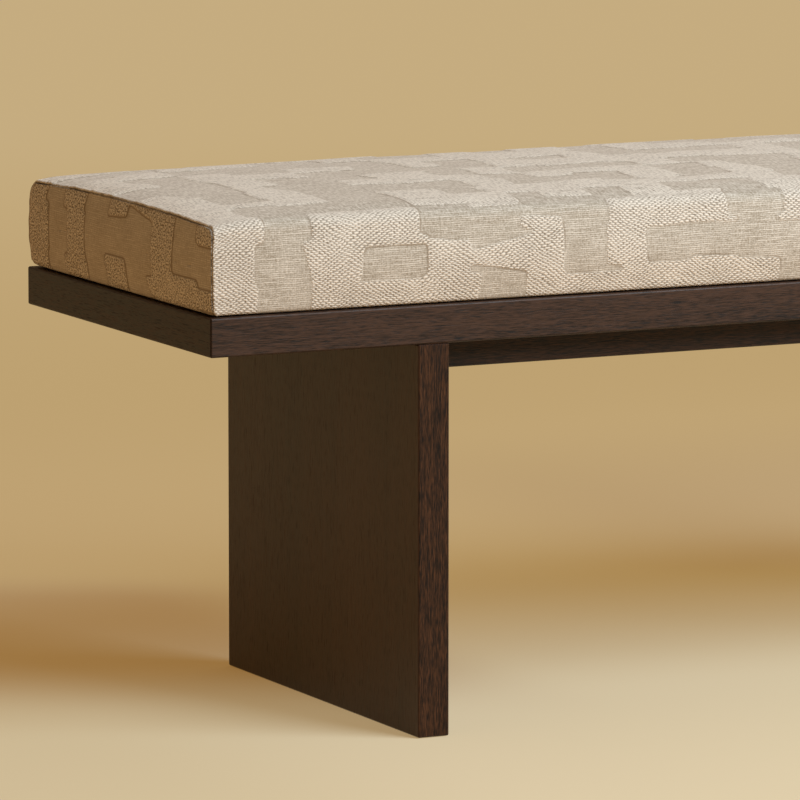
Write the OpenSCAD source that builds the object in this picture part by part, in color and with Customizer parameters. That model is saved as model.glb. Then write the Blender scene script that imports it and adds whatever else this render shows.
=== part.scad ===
// Upholstered wooden bench
// A thick deck on two full-depth panel legs, a sub-frame between the legs and
// a tight upholstered pad on top. Millimetres, +Z up, the front faces -Y.
// The origin is on the floor, under the middle of the bench.

/* [Overall] */
// Length of the deck and of the pad
bench_l = 1372; // [1150:1:1800]
// Depth of the deck and of the pad, front to back
bench_d = 406; // [370:1:520]
// Height of the deck's underside above the floor
leg_h = 353; // [260:1:450]
// Distance from the end of the deck to the outer face of the leg
overhang = 201; // [140:1:260]
// Width of the small flat cut on every outer edge of the wood
arris = 1.2; // [0.4:0.1:2]

/* [Deck] */
// Thickness of the deck
deck_t = 35; // [30:0.5:50]
// Width of the solid lippings round the deck, seen from above
deck_lip_w = 22; // [16:1:40]
// Thickness of the loose tongues between core and lippings
tongue_t = 5; // [3:0.5:8]
// Width of the loose tongues, half of it in each piece
tongue_w = 16; // [10:1:24]

/* [Legs] */
// Thickness of the leg panels
leg_t = 30.5; // [24:0.5:40]
// Depth of the mitred lippings on the front and back edges of the legs
leg_lip_d = 6; // [3:0.5:10]
// How far the leg's edge stands back from the deck's edge
leg_setback = 0.5; // [0.2:0.1:10]
// Diameter of the floor glides
glide_d = 18; // [12:1:22]
// Thickness of the floor glides
glide_t = 4; // [3:0.5:6]
// How far the glides stand proud of the leg
glide_proud = 0.6; // [0.4:0.1:2]
// Distance from the leg's edge to the middle of the glide
glide_edge = 34; // [20:1:80]

/* [Sub-frame] */
// Height of the rails under the deck
rail_h = 31; // [24:1:60]
// Distance from the deck's edge to the face of the front and back rails
rail_setback = 60; // [45:1:75]
// Thickness of the front and back rails
apron_t = 18; // [15:1:24]
// Thickness of the cross rails
cross_t = 22; // [18:1:30]

/* [Fixings] */
// Diameter of the dowels between leg and deck
leg_dowel_d = 10; // [8:1:12]
// Depth of the leg dowels in the leg
leg_dowel_low = 20; // [15:1:30]
// Depth of the leg dowels in the deck
leg_dowel_up = 15; // [10:0.5:16]
// Distance from the leg's edge to the outer leg dowel
leg_dowel_edge = 30; // [20:1:34]
// Distance between the outer and the inner leg dowel
leg_dowel_pitch = 78; // [70:1:85]
// Diameter of the dowels in the sub-frame
rail_dowel_d = 8; // [6:1:9]
// Depth of a sub-frame dowel in the end of a rail
rail_dowel_end = 18; // [12:1:24]
// Depth of a sub-frame dowel in the face that the rail meets
rail_dowel_face = 12; // [8:1:14]
// Diameter of the leg bolts
leg_bolt_d = 8; // [6:1:8]
// Length of the leg bolts under the head
leg_bolt_l = 35; // [34:1:36]
// Distance between the two bolts of a leg
leg_bolt_pitch = 76; // [50:1:84]
// Diameter of the threaded inserts in the legs
insert_d = 12; // [11:0.5:14]
// Length of the threaded inserts
insert_l = 15; // [13:1:18]
// Diameter of the sub-frame screws
screw_d = 4.5; // [3.5:0.5:5]
// Depth of the sub-frame screws in the deck
screw_up = 14; // [8:1:16]
// Diameter of the bolts that hold the pad
pad_bolt_d = 6; // [5:1:6]
// Distance from the end of the deck to the outer pad bolts
pad_bolt_end = 106; // [80:1:120]
// Distance from the deck's edge to the pad bolts
pad_bolt_side = 103; // [95:1:110]
// Distance between the inner pad bolts along the bench
pad_bolt_pitch = 400; // [300:1:500]
// Diameter of the tee nuts' flange
tee_nut_d = 19; // [16:1:22]

/* [Pad] */
// Height of the pad's end seam above the deck
pad_h = 79; // [60:1:110]
// Rise of the crown from front and back edge to the middle
crown_across = 4.5; // [0:0.5:12]
// Rise of the top from the end seam towards the middle
crown_along = 4.5; // [0:0.5:12]
// Length over which the top rises from the end seam
crown_run = 18; // [10:1:60]
// Radius of the front top edge
front_r = 10; // [8:1:25]
// Radius of the back top edge
back_r = 14; // [8:1:25]
// Height of the pad's widest outline above the deck
belly_h = 38; // [25:1:50]
// How far the sides draw in at the bottom
low_draw = 2.5; // [0:0.5:8]
// How far the sides draw in at the top
top_draw = 2; // [0:0.5:6]
// How far the end panels swell out between their seams
end_swell = 1; // [0.5:0.5:8]
// Radius at which the cover turns under the pad
roll_r = 4; // [4:0.5:8]
// Width of the cover's hem under the pad
hem_w = 35; // [22:1:60]
// Thickness of the cover
cover_t = 1.5; // [1:0.1:2.5]
// Thickness of the seat board
board_t = 12; // [10:1:18]
// Thickness of the foam block
foam_t = 54; // [35:1:56]
// Thickness of the batting beside the foam
batting_side = 8; // [5:1:20]
// Thickness of the dust cover
dust_t = 0.9; // [0.5:0.1:1]

/* [Hidden] */
$fn = 48;

// Clearances
hole_gap = 0.1;
groove_gap = 0.1;
bolt_gap = 0.3;
end_gap = 0.5;
soft_gap = 0.3;
crown_gap = 0.8;
cut = 1;

// Heights and places of the wood
deck_mid = leg_h + deck_t / 2;
deck_top = leg_h + deck_t;
core_l = bench_l - 2 * deck_lip_w;
core_d = bench_d - 2 * deck_lip_w;
leg_d = bench_d - 2 * leg_setback;
leg_x = bench_l / 2 - overhang - leg_t / 2;
leg_in_x = leg_x - leg_t / 2;
rail_z = leg_h - rail_h;
rail_mid = leg_h - rail_h / 2;
apron_y = bench_d / 2 - rail_setback - apron_t / 2;
cross_half = apron_y - apron_t / 2;
cross_x = leg_in_x - cross_t / 2;

// Fixings
leg_dowel_y = [leg_d / 2 - leg_dowel_edge, leg_d / 2 - leg_dowel_edge - leg_dowel_pitch];
rail_dowel_dz = rail_h / 4;
leg_bolt_y = leg_bolt_pitch / 2;
leg_bolt_r = leg_bolt_d / 2;
leg_head_d = 2 * leg_bolt_d - 1;
leg_head_t = 3;
leg_washer_d = 2.4 * leg_bolt_d;
leg_washer_t = 1.6;
leg_socket = 5;
screw_r = screw_d / 2;
screw_head_r = screw_d;
screw_socket = 1.2;
apron_screw_x = [leg_in_x - 80, leg_in_x / 3];
cross_screw_y = cross_half - rail_dowel_end - 14;
pad_bolt_r = pad_bolt_d / 2;
pad_bolt_x = [bench_l / 2 - pad_bolt_end, pad_bolt_pitch / 2];
pad_bolt_y = bench_d / 2 - pad_bolt_side;
pad_head_d = 2 * pad_bolt_d;
pad_head_t = 2.5;
pad_socket = 4;
pad_washer_d = 3 * pad_bolt_d;
pad_washer_t = 1.5;
tee_flange_t = 1.4;
tee_barrel_d = pad_bolt_d + 2;
tee_barrel_l = 8;

// The pad, measured up from the deck and inwards from its widest outline
pad_half_l = bench_l / 2 - end_swell;
pad_half_d = bench_d / 2;
lining = cover_t + soft_gap;
board_z = deck_top + lining;
board_top = board_z + board_t;
band_n = 7;
band_bias = 2.6;
roll_n = 3;
side_n = 4;
arc_n = 3;
top_n = 8;

// Inset of the side at height z: widest at the belly, drawn in below and above it
function side_in(z) = z < belly_h ? low_draw * pow((belly_h - z) / belly_h, 2)
                                  : top_draw * pow((z - belly_h) / (pad_h - belly_h), 2);
roll_k = side_in(roll_r) + roll_r;
board_in = roll_k + soft_gap;

// Height of the top's front and back edge, at a distance from the end seam
function edge_h(run) = pad_h + crown_along * (1 - exp(-run / crown_run));

// Depth between the ends of the two edge radii, at which t is -1 and 1
front_in = side_in(pad_h - front_r) + front_r;
back_in = side_in(pad_h - back_r) + back_r;
function top_y(t) = -pad_half_d + front_in + (2 * pad_half_d - front_in - back_in) * (t + 1) / 2;
function top_t(y) = 2 * (y + pad_half_d - front_in) / (2 * pad_half_d - front_in - back_in) - 1;
function top_h(run, t) = edge_h(run) + crown_across * (1 - t * t);

// One side in section, from the hem's inner edge, round the roll, up the side
// and over an edge of radius r: [inset, height, inset of the end at that height]
function half_section(run, r, e) = let(shoulder = edge_h(run) - r, shoulder_in = side_in(pad_h - r)) concat(
    [for (k = [hem_w, (hem_w + roll_k) / 2]) [k, e, k]],
    [for (i = [0 : roll_n]) let(a = 270 - 90 * i / roll_n, k = roll_k + (roll_r - e) * cos(a))
        [k, roll_r + (roll_r - e) * sin(a), k]],
    [for (i = [1 : side_n]) let(z = roll_r + (shoulder - roll_r) * i / side_n,
                                q = roll_r + (pad_h - r - roll_r) * i / side_n)
        [side_in(q) + e, z, side_in(q) + e]],
    [for (i = [1 : arc_n]) let(a = 180 - 90 * i / arc_n, h = pad_h - r + r * sin(a))
        [shoulder_in + r + (r - e) * cos(a), shoulder + (r - e) * sin(a), side_in(h) + e]]
);

// The whole section from the front hem over the top to the back hem: [y, z, inset of the end]
function section(run, e) = concat(
    [for (p = half_section(run, front_r, e)) [-pad_half_d + p[0], p[1], p[2]]],
    [for (i = [1 : top_n - 1]) let(t = 2 * i / top_n - 1) [top_y(t), top_h(run, t) - e, side_in(pad_h) + e]],
    let(back = half_section(run, back_r, e))
        [for (i = [len(back) - 1 : -1 : 0]) [pad_half_d - back[i][0], back[i][1], back[i][2]]]
);

// Stations along the pad from -1 to 1, close together near the ends
stations = concat(
    [for (i = [0 : band_n]) -1 + pow(i / band_n, band_bias)],
    [for (i = [band_n - 1 : -1 : 0]) 1 - pow(i / band_n, band_bias)]
);
function band_grid(e) = [for (s = stations) let(run = (1 - abs(s)) * pad_half_l)
    [for (p = section(run, e)) [s * (pad_half_l - p[2] - soft_gap), p[0], p[1]]]];

// Swell of an end panel, at a share w of its width and a height z
function swell(w, z) = let(h = z / pad_h) end_swell * (1 - pow(2 * w - 1, 4)) * max(0, 4 * h * (1 - h));

// The end panel: straight rows up to the shoulders, and a last row along the seam with the band
n_side = 2 + roll_n + 1 + side_n;
function end_grid(e) = let(
    seam = section(0, e),
    last = len(seam) - 1,
    y0 = seam[n_side - 1][0],
    y1 = seam[last - n_side + 1][0]
) concat(
    [for (r = [0 : n_side - 2]) [for (c = [last - n_side + 1 : -1 : n_side - 1]) let(
        w = (seam[c][0] - y0) / (y1 - y0),
        p = seam[r] * (1 - w) + seam[last - r] * w
    ) [pad_half_l - p[2] + swell(w, p[1]), p[0], p[1]]]],
    [[for (c = [last - n_side + 1 : -1 : n_side - 1]) [pad_half_l - seam[c][2], seam[c][0], seam[c][1]]]]
);

// A closed sheet between an outer and an inner grid of points
module sheet(outer, inner) {
    rows = len(outer);
    cols = len(outer[0]);
    size = rows * cols;
    function at(r, c) = r * cols + c;
    polyhedron(
        points = [for (grid = [outer, inner]) for (row = grid) for (p = row) p],
        faces = concat(
            [for (r = [0 : rows - 2]) for (c = [0 : cols - 2])
                for (f = [[at(r, c), at(r, c + 1), at(r + 1, c)], [at(r + 1, c), at(r, c + 1), at(r + 1, c + 1)]]) f],
            [for (r = [0 : rows - 2]) for (c = [0 : cols - 2])
                for (f = [[at(r, c), at(r + 1, c), at(r, c + 1)], [at(r + 1, c), at(r + 1, c + 1), at(r, c + 1)]])
                    [for (i = f) i + size]],
            [for (r = [0 : rows - 2]) for (f = [
                [at(r, 0), at(r + 1, 0), at(r, 0) + size],
                [at(r + 1, 0), at(r + 1, 0) + size, at(r, 0) + size],
                [at(r, cols - 1), at(r, cols - 1) + size, at(r + 1, cols - 1)],
                [at(r + 1, cols - 1), at(r, cols - 1) + size, at(r + 1, cols - 1) + size]
            ]) f],
            [for (c = [0 : cols - 2]) for (f = [
                [at(0, c), at(0, c) + size, at(0, c + 1)],
                [at(0, c + 1), at(0, c) + size, at(0, c + 1) + size],
                [at(rows - 1, c), at(rows - 1, c + 1), at(rows - 1, c) + size],
                [at(rows - 1, c + 1), at(rows - 1, c + 1) + size, at(rows - 1, c) + size]
            ]) f]
        )
    );
}

// Outline of the batting at an inset k: from the middle of the left end, along
// the front to the middle of the right end, and back along the back
batting_r = 10;
batting_arc_n = 3;
function outline(k, r) = let(
    hx = pad_half_l - k,
    hy = pad_half_d - k,
    bow = end_swell / 2,
    front = concat(
        [[-hx - bow, 0], [-hx - 0.75 * bow, -(hy - r) / 2]],
        [for (i = [0 : batting_arc_n]) let(a = 180 + 90 * i / batting_arc_n)
            [-(hx - r) + r * cos(a), -(hy - r) + r * sin(a)]],
        [for (i = [1 : len(stations) - 2]) [stations[i] * (hx - r), -hy]],
        [for (i = [0 : batting_arc_n]) let(a = 270 + 90 * i / batting_arc_n)
            [hx - r + r * cos(a), -(hy - r) + r * sin(a)]],
        [[hx + 0.75 * bow, -(hy - r) / 2], [hx + bow, 0]]
    )
) concat(front, [for (i = [len(front) - 2 : -1 : 1]) [front[i][0], -front[i][1]]]);

// The batting as rings of points: down the inside beside the foam, then up the outside
// beside the cover and in over the crown
foam_in = lining + batting_side;
foam_low = lining + board_t + soft_gap;
batting_in = cover_t + crown_gap;
batting_rings = let(r = max(front_r, back_r), low = pad_h - r) concat(
    [for (z = [foam_low + foam_t + soft_gap, foam_low])
        [for (p = outline(foam_in - soft_gap, soft_gap)) [p[0], p[1], z]]],
    [for (z = [foam_low, (foam_low + low) / 2])
        [for (p = outline(side_in(z) + batting_in, batting_r)) [p[0], p[1], z]]],
    [for (i = [0 : arc_n]) let(a = 180 - 90 * i / arc_n)
        [for (p = outline(side_in(low) + r + (r - batting_in) * cos(a), batting_r))
            [p[0], p[1], edge_h(pad_half_l - abs(p[0])) - r + (r - batting_in) * sin(a)]]],
    [for (k = [0.2, 0.42, 0.62, 0.82]) [for (p = outline(k * pad_half_d, batting_r))
        [p[0], p[1], top_h(pad_half_l - abs(p[0]), top_t(p[1])) - batting_in]]]
);

// A closed form from rings of points, with its first and its last ring closed across by strips
module ringed(rings) {
    n = len(rings[0]);
    last = (len(rings) - 1) * n;
    polyhedron(
        points = [for (ring = rings) for (p = ring) p],
        faces = concat(
            [[0, 1, n - 1], [n / 2, n / 2 + 1, n / 2 - 1]],
            [for (i = [1 : n / 2 - 2]) for (f = [[i, i + 1, n - i], [i + 1, n - i - 1, n - i]]) f],
            [for (r = [0 : len(rings) - 2]) for (i = [0 : n - 1]) let(j = (i + 1) % n)
                for (f = [[r * n + i, (r + 1) * n + i, r * n + j], [r * n + j, (r + 1) * n + i, (r + 1) * n + j]]) f],
            [[last, last + n - 1, last + 1], [last + n / 2, last + n / 2 - 1, last + n / 2 + 1]],
            [for (i = [1 : n / 2 - 2]) for (f = [
                [last + i, last + n - i, last + i + 1],
                [last + i + 1, last + n - i, last + n - i - 1]
            ]) f]
        )
    );
}

// A rectangle with its corners cut by the arris
module eased_rect(a, b) {
    polygon([
        [-a / 2, -b / 2 + arris], [-a / 2 + arris, -b / 2], [a / 2 - arris, -b / 2], [a / 2, -b / 2 + arris],
        [a / 2, b / 2 - arris], [a / 2 - arris, b / 2], [-a / 2 + arris, b / 2], [-a / 2, b / 2 - arris]
    ]);
}

// A block with all its edges eased, centred in plan and standing on z = 0
module eased_block(l, d, h) {
    intersection() {
        linear_extrude(h) eased_rect(l, d);
        translate([0, 0, h / 2]) rotate([90, 0, 0]) linear_extrude(d, center = true) eased_rect(l, h);
        translate([0, 0, h / 2]) rotate([90, 0, 90]) linear_extrude(l, center = true) eased_rect(d, h);
    }
}

// A rail along X, centred, its top under the deck and its lower long edges eased
module rail(l, t) {
    rotate([90, 0, 90]) linear_extrude(l, center = true) polygon([
        [-t / 2, leg_h], [-t / 2, rail_z + arris], [-t / 2 + arris, rail_z],
        [t / 2 - arris, rail_z], [t / 2, rail_z + arris], [t / 2, leg_h]
    ]);
}

// Places of the fixings
module at_leg_dowels(side) {
    for (y = leg_dowel_y, s = [-1, 1]) translate([side * leg_x, s * y, leg_h]) children();
}
module at_rail_ends(side) {
    for (s = [-1, 1], dz = [-1, 1]) translate([side * leg_in_x, s * apron_y, rail_mid + dz * rail_dowel_dz])
        rotate([0, side * 90, 0]) children();
}
module at_centre_ends() {
    for (s = [-1, 1], dz = [-1, 1]) translate([0, s * cross_half, rail_mid + dz * rail_dowel_dz])
        rotate([-s * 90, 0, 0]) children();
}
module at_leg_bolts(side) {
    for (s = [-1, 1]) translate([side * (leg_in_x - cross_t), s * leg_bolt_y, rail_mid])
        rotate([0, side * 90, 0]) children();
}
module at_apron_screws(s) {
    for (x = apron_screw_x, m = [-1, 1]) translate([m * x, s * apron_y, rail_z]) children();
}
module at_cross_screws(x) {
    for (s = [-1, 1]) translate([x, s * cross_screw_y, rail_z]) children();
}
module at_pad_bolts(z) {
    for (x = pad_bolt_x, m = [-1, 1], s = [-1, 1]) translate([m * x, s * pad_bolt_y, z]) children();
}

// Cutters for the fixings
module leg_dowel_holes() {
    for (side = [-1, 1]) at_leg_dowels(side)
        translate([0, 0, -leg_dowel_low - end_gap])
            cylinder(h = leg_dowel_low + leg_dowel_up + 2 * end_gap, d = leg_dowel_d + 2 * hole_gap);
}
module rail_dowel_hole() {
    translate([0, 0, -rail_dowel_end - end_gap])
        cylinder(h = rail_dowel_end + rail_dowel_face + 2 * end_gap, d = rail_dowel_d + 2 * hole_gap);
}
module rail_dowel() {
    translate([0, 0, -rail_dowel_end]) cylinder(h = rail_dowel_end + rail_dowel_face, d = rail_dowel_d);
}
module screw_hole() {
    cylinder(h = rail_h + screw_up + end_gap, r = screw_r + hole_gap);
    translate([0, 0, -cut]) cylinder(h = cut, r = screw_head_r + hole_gap);
    cylinder(h = screw_head_r - screw_r, r1 = screw_head_r + hole_gap, r2 = screw_r + hole_gap);
}
module screw_holes() {
    for (s = [-1, 1]) at_apron_screws(s) screw_hole();
    for (x = [-cross_x, 0, cross_x]) at_cross_screws(x) screw_hole();
}
module leg_bolt_hole() {
    translate([0, 0, -cut]) cylinder(h = cross_t + 2 * cut, r = leg_bolt_r + bolt_gap);
}
module insert_hole() {
    translate([0, 0, cross_t - cut]) cylinder(h = cut + insert_l + end_gap, d = insert_d + 2 * hole_gap);
}
module tongue(gap) {
    for (s = [-1, 1]) {
        translate([0, s * core_d / 2, deck_mid])
            cube([core_l - 2 * tongue_w + 2 * gap, tongue_w + 2 * gap, tongue_t + 2 * gap], center = true);
        translate([s * core_l / 2, 0, deck_mid])
            cube([tongue_w + 2 * gap, core_d - 2 * tongue_w + 2 * gap, tongue_t + 2 * gap], center = true);
    }
}

// Deck
module deck_ply(z) {
    difference() {
        translate([-core_l / 2, -core_d / 2, z]) cube([core_l, core_d, deck_t / 2]);
        tongue(groove_gap);
        leg_dowel_holes();
        screw_holes();
        at_pad_bolts(leg_h - cut) cylinder(h = deck_t + 2 * cut, r = pad_bolt_r + bolt_gap);
    }
}
module deck_upper_ply() {
    color("#8a6a4a") deck_ply(deck_mid);
}
module deck_lower_ply() {
    color("#3a2a20") deck_ply(leg_h);
}
module deck_lipping(l, d) {
    difference() {
        intersection() {
            translate([0, 0, leg_h]) eased_block(bench_l, bench_d, deck_t);
            translate([0, 0, leg_h]) linear_extrude(deck_t)
                polygon([[-l / 2, -d / 2], [l / 2, -d / 2], [l / 2 - deck_lip_w, -d / 2 + deck_lip_w],
                         [-l / 2 + deck_lip_w, -d / 2 + deck_lip_w]]);
        }
        tongue(groove_gap);
    }
}
module deck_front_lipping() {
    color("#46342a") deck_lipping(bench_l, bench_d);
}
module deck_back_lipping() {
    color("#46342a") mirror([0, 1, 0]) deck_lipping(bench_l, bench_d);
}
module deck_end_lipping() {
    difference() {
        intersection() {
            translate([0, 0, leg_h]) eased_block(bench_l, bench_d, deck_t);
            translate([0, 0, leg_h]) linear_extrude(deck_t)
                polygon([[-bench_l / 2, bench_d / 2], [-bench_l / 2, -bench_d / 2],
                         [-core_l / 2, -core_d / 2], [-core_l / 2, core_d / 2]]);
        }
        tongue(groove_gap);
    }
}
module deck_left_lipping() {
    color("#3c2b22") deck_end_lipping();
}
module deck_right_lipping() {
    color("#3c2b22") mirror([1, 0, 0]) deck_end_lipping();
}
module deck_tongues() {
    color("#b08a5c") tongue(0);
}

// Legs, drawn on the right and mirrored to the left
module leg_body() {
    translate([leg_x, 0, glide_proud]) eased_block(leg_t, leg_d, leg_h - glide_proud);
}
module leg_lip_wedge(s) {
    linear_extrude(leg_h) polygon([
        [leg_x - leg_t / 2, s * leg_d / 2], [leg_x + leg_t / 2, s * leg_d / 2],
        [leg_x + leg_t / 2 - leg_lip_d, s * (leg_d / 2 - leg_lip_d)],
        [leg_x - leg_t / 2 + leg_lip_d, s * (leg_d / 2 - leg_lip_d)]
    ]);
}
module leg_lipping(s) {
    intersection() {
        leg_body();
        leg_lip_wedge(s);
    }
}
module leg_core() {
    difference() {
        leg_body();
        leg_lip_wedge(-1);
        leg_lip_wedge(1);
        leg_dowel_holes();
        at_rail_ends(1) rail_dowel_hole();
        at_leg_bolts(1) insert_hole();
        for (s = [-1, 1]) translate([leg_x, s * (leg_d / 2 - glide_edge), 0])
            cylinder(h = glide_t + hole_gap, d = glide_d + 2 * hole_gap);
    }
}
module left_leg_core() {
    color("#3a2a20") mirror([1, 0, 0]) leg_core();
}
module left_leg_front_lipping() {
    color("#33251d") mirror([1, 0, 0]) leg_lipping(-1);
}
module left_leg_back_lipping() {
    color("#33251d") mirror([1, 0, 0]) leg_lipping(1);
}
module right_leg_core() {
    color("#3a2a20") leg_core();
}
module right_leg_front_lipping() {
    color("#33251d") leg_lipping(-1);
}
module right_leg_back_lipping() {
    color("#33251d") leg_lipping(1);
}
module floor_glides() {
    color("#2b2725") for (side = [-1, 1], s = [-1, 1])
        translate([side * leg_x, s * (leg_d / 2 - glide_edge), 0]) {
            translate([0, 0, glide_proud / 2]) cylinder(h = glide_t - glide_proud / 2, d = glide_d);
            cylinder(h = glide_proud / 2, d1 = glide_d - glide_proud, d2 = glide_d);
        }
}

// Sub-frame
module long_rail(s) {
    difference() {
        translate([0, s * apron_y, 0]) rail(2 * leg_in_x, apron_t);
        for (side = [-1, 1]) at_rail_ends(side) rail_dowel_hole();
        at_centre_ends() rail_dowel_hole();
        at_apron_screws(s) screw_hole();
    }
}
module front_rail() {
    color("#2e211a") long_rail(-1);
}
module back_rail() {
    color("#2e211a") long_rail(1);
}
module cross_rail(x, side) {
    difference() {
        translate([x, 0, 0]) rotate([0, 0, 90]) rail(2 * cross_half, cross_t);
        at_cross_screws(x) screw_hole();
        if (side == 0) at_centre_ends() rail_dowel_hole();
        if (side != 0) at_leg_bolts(side) leg_bolt_hole();
    }
}
module left_cross_rail() {
    color("#35271e") cross_rail(-cross_x, -1);
}
module right_cross_rail() {
    color("#35271e") cross_rail(cross_x, 1);
}
module centre_cross_rail() {
    color("#35271e") cross_rail(0, 0);
}

// Fixings
module leg_dowels() {
    color("#d0ab78") for (side = [-1, 1]) at_leg_dowels(side)
        translate([0, 0, -leg_dowel_low]) cylinder(h = leg_dowel_low + leg_dowel_up, d = leg_dowel_d);
}
module rail_end_dowels() {
    color("#d0ab78") for (side = [-1, 1]) at_rail_ends(side) rail_dowel();
}
module centre_rail_dowels() {
    color("#d0ab78") at_centre_ends() rail_dowel();
}
module wood_screw() {
    difference() {
        union() {
            cylinder(h = screw_head_r - screw_r, r1 = screw_head_r, r2 = screw_r);
            cylinder(h = rail_h + screw_up, r = screw_r);
        }
        for (a = [0, 90]) rotate([0, 0, a])
            cube([screw_d, screw_socket, screw_d], center = true);
    }
}
module rail_screws() {
    color("#8d8a80") {
        for (s = [-1, 1]) at_apron_screws(s) wood_screw();
        for (x = [-cross_x, 0, cross_x]) at_cross_screws(x) wood_screw();
    }
}
// A flat-headed bolt along Z: its head below z = 0 and its shank above
module flat_bolt(d, l, head_d, head_t, socket) {
    difference() {
        union() {
            translate([0, 0, -head_t]) cylinder(h = head_t, d = head_d);
            cylinder(h = l, d = d);
        }
        translate([0, 0, -head_t - cut]) cylinder(h = head_t + cut, d = socket / cos(30), $fn = 6);
    }
}
module washer(d, t, hole_r) {
    translate([0, 0, -t]) difference() {
        cylinder(h = t, d = d);
        translate([0, 0, -cut]) cylinder(h = t + 2 * cut, r = hole_r);
    }
}
module leg_bolts() {
    color("#57534e") for (side = [-1, 1]) at_leg_bolts(side)
        translate([0, 0, -leg_washer_t])
            flat_bolt(leg_bolt_d, leg_bolt_l + leg_washer_t, leg_head_d, leg_head_t, leg_socket);
}
module leg_washers() {
    color("#a8a59c") for (side = [-1, 1]) at_leg_bolts(side)
        washer(leg_washer_d, leg_washer_t, leg_bolt_r + bolt_gap);
}
module leg_inserts() {
    color("#b0985c") for (side = [-1, 1]) at_leg_bolts(side) translate([0, 0, cross_t]) difference() {
        cylinder(h = insert_l, d = insert_d);
        translate([0, 0, -cut]) cylinder(h = insert_l + 2 * cut, r = leg_bolt_r + hole_gap);
    }
}

// Pad: board, tee nuts, bolts and dust cover
module seat_board() {
    color("#c9a574") difference() {
        translate([-pad_half_l + board_in, -pad_half_d + board_in, board_z])
            cube([2 * (pad_half_l - board_in), 2 * (pad_half_d - board_in), board_t]);
        at_pad_bolts(board_z - cut) cylinder(h = board_t + 2 * cut, d = tee_barrel_d + 2 * hole_gap);
        at_pad_bolts(board_top - tee_flange_t - hole_gap) cylinder(h = tee_flange_t + cut, d = tee_nut_d + 2 * hole_gap);
    }
}
module tee_nuts() {
    color("#a8a59c") at_pad_bolts(board_top - tee_flange_t) difference() {
        union() {
            cylinder(h = tee_flange_t, d = tee_nut_d);
            translate([0, 0, -tee_barrel_l]) cylinder(h = tee_barrel_l, d = tee_barrel_d);
        }
        translate([0, 0, -tee_barrel_l - cut])
            cylinder(h = tee_barrel_l + tee_flange_t + 2 * cut, r = pad_bolt_r + hole_gap);
    }
}
module pad_bolts() {
    color("#57534e") at_pad_bolts(leg_h - pad_washer_t)
        flat_bolt(pad_bolt_d, pad_washer_t + deck_t + lining + board_t - hole_gap, pad_head_d, pad_head_t, pad_socket);
}
module pad_washers() {
    color("#a8a59c") at_pad_bolts(leg_h) washer(pad_washer_d, pad_washer_t, pad_bolt_r + bolt_gap);
}
module dust_cover() {
    edge = hem_w + soft_gap;
    color("#26241f") difference() {
        translate([-pad_half_l + edge, -pad_half_d + edge, board_z - soft_gap - dust_t])
            cube([2 * (pad_half_l - edge), 2 * (pad_half_d - edge), dust_t]);
        at_pad_bolts(deck_top - cut) cylinder(h = lining + 2 * cut, r = pad_bolt_r + bolt_gap);
    }
}

// Pad: foam, batting and cover
module foam_core() {
    color("#e6dfae") translate([-pad_half_l + foam_in, -pad_half_d + foam_in, deck_top + foam_low])
        cube([2 * (pad_half_l - foam_in), 2 * (pad_half_d - foam_in), foam_t]);
}
module batting_wrap() {
    color("#f2efe6") translate([0, 0, deck_top]) ringed(batting_rings);
}
module cover_band() {
    color("#cdbfa3") translate([0, 0, deck_top]) sheet(band_grid(0), band_grid(cover_t));
}
module cover_right_end() {
    color("#bba98a") translate([0, 0, deck_top]) sheet(end_grid(0), end_grid(cover_t));
}
module cover_left_end() {
    color("#bba98a") translate([0, 0, deck_top]) mirror([1, 0, 0]) sheet(end_grid(0), end_grid(cover_t));
}

deck_upper_ply();
deck_lower_ply();
deck_front_lipping();
deck_back_lipping();
deck_left_lipping();
deck_right_lipping();
deck_tongues();
left_leg_core();
left_leg_front_lipping();
left_leg_back_lipping();
right_leg_core();
right_leg_front_lipping();
right_leg_back_lipping();
floor_glides();
front_rail();
back_rail();
left_cross_rail();
right_cross_rail();
centre_cross_rail();
leg_dowels();
rail_end_dowels();
centre_rail_dowels();
rail_screws();
leg_bolts();
leg_washers();
leg_inserts();
seat_board();
tee_nuts();
pad_bolts();
pad_washers();
dust_cover();
foam_core();
batting_wrap();
cover_band();
cover_left_end();
cover_right_end();
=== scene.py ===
# %% [markdown]
# # A bench with a woven seat pad
# The bench is a thick stained deck on two panel legs, with a tight upholstered
# pad as long and as deep as the deck. The wooden pieces and the fixings come
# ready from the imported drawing, so this lesson gives them their finishes. The
# cloth, the foam and the batting are soft, so they are made again here as
# surfaces worked out with numpy.

# %% The frame
import math

import bpy
import numpy as np
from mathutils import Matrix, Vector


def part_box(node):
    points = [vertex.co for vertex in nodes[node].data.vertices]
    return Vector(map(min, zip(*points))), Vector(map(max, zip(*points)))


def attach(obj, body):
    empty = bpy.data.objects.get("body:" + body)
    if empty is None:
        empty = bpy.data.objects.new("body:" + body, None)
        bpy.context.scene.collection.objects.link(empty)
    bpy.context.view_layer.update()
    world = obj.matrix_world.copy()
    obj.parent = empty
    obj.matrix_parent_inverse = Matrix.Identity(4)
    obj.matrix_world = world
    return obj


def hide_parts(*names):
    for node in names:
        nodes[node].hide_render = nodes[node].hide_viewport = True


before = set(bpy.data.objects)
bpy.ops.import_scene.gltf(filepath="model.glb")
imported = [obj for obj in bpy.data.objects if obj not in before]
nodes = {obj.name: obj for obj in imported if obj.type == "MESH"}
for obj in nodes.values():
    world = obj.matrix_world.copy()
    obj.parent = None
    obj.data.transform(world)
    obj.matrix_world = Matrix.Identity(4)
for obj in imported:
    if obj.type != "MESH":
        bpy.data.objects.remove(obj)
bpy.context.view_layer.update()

# %% [markdown]
# ## The camera
# A product photographer stands far back with a long lens, so that a bench 1.4 m
# long doesn't look stretched. The camera stands 7 m from the middle of the
# bench, to the left of its front, and looks down a little. The right part of
# the bench is outside the picture.

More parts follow.
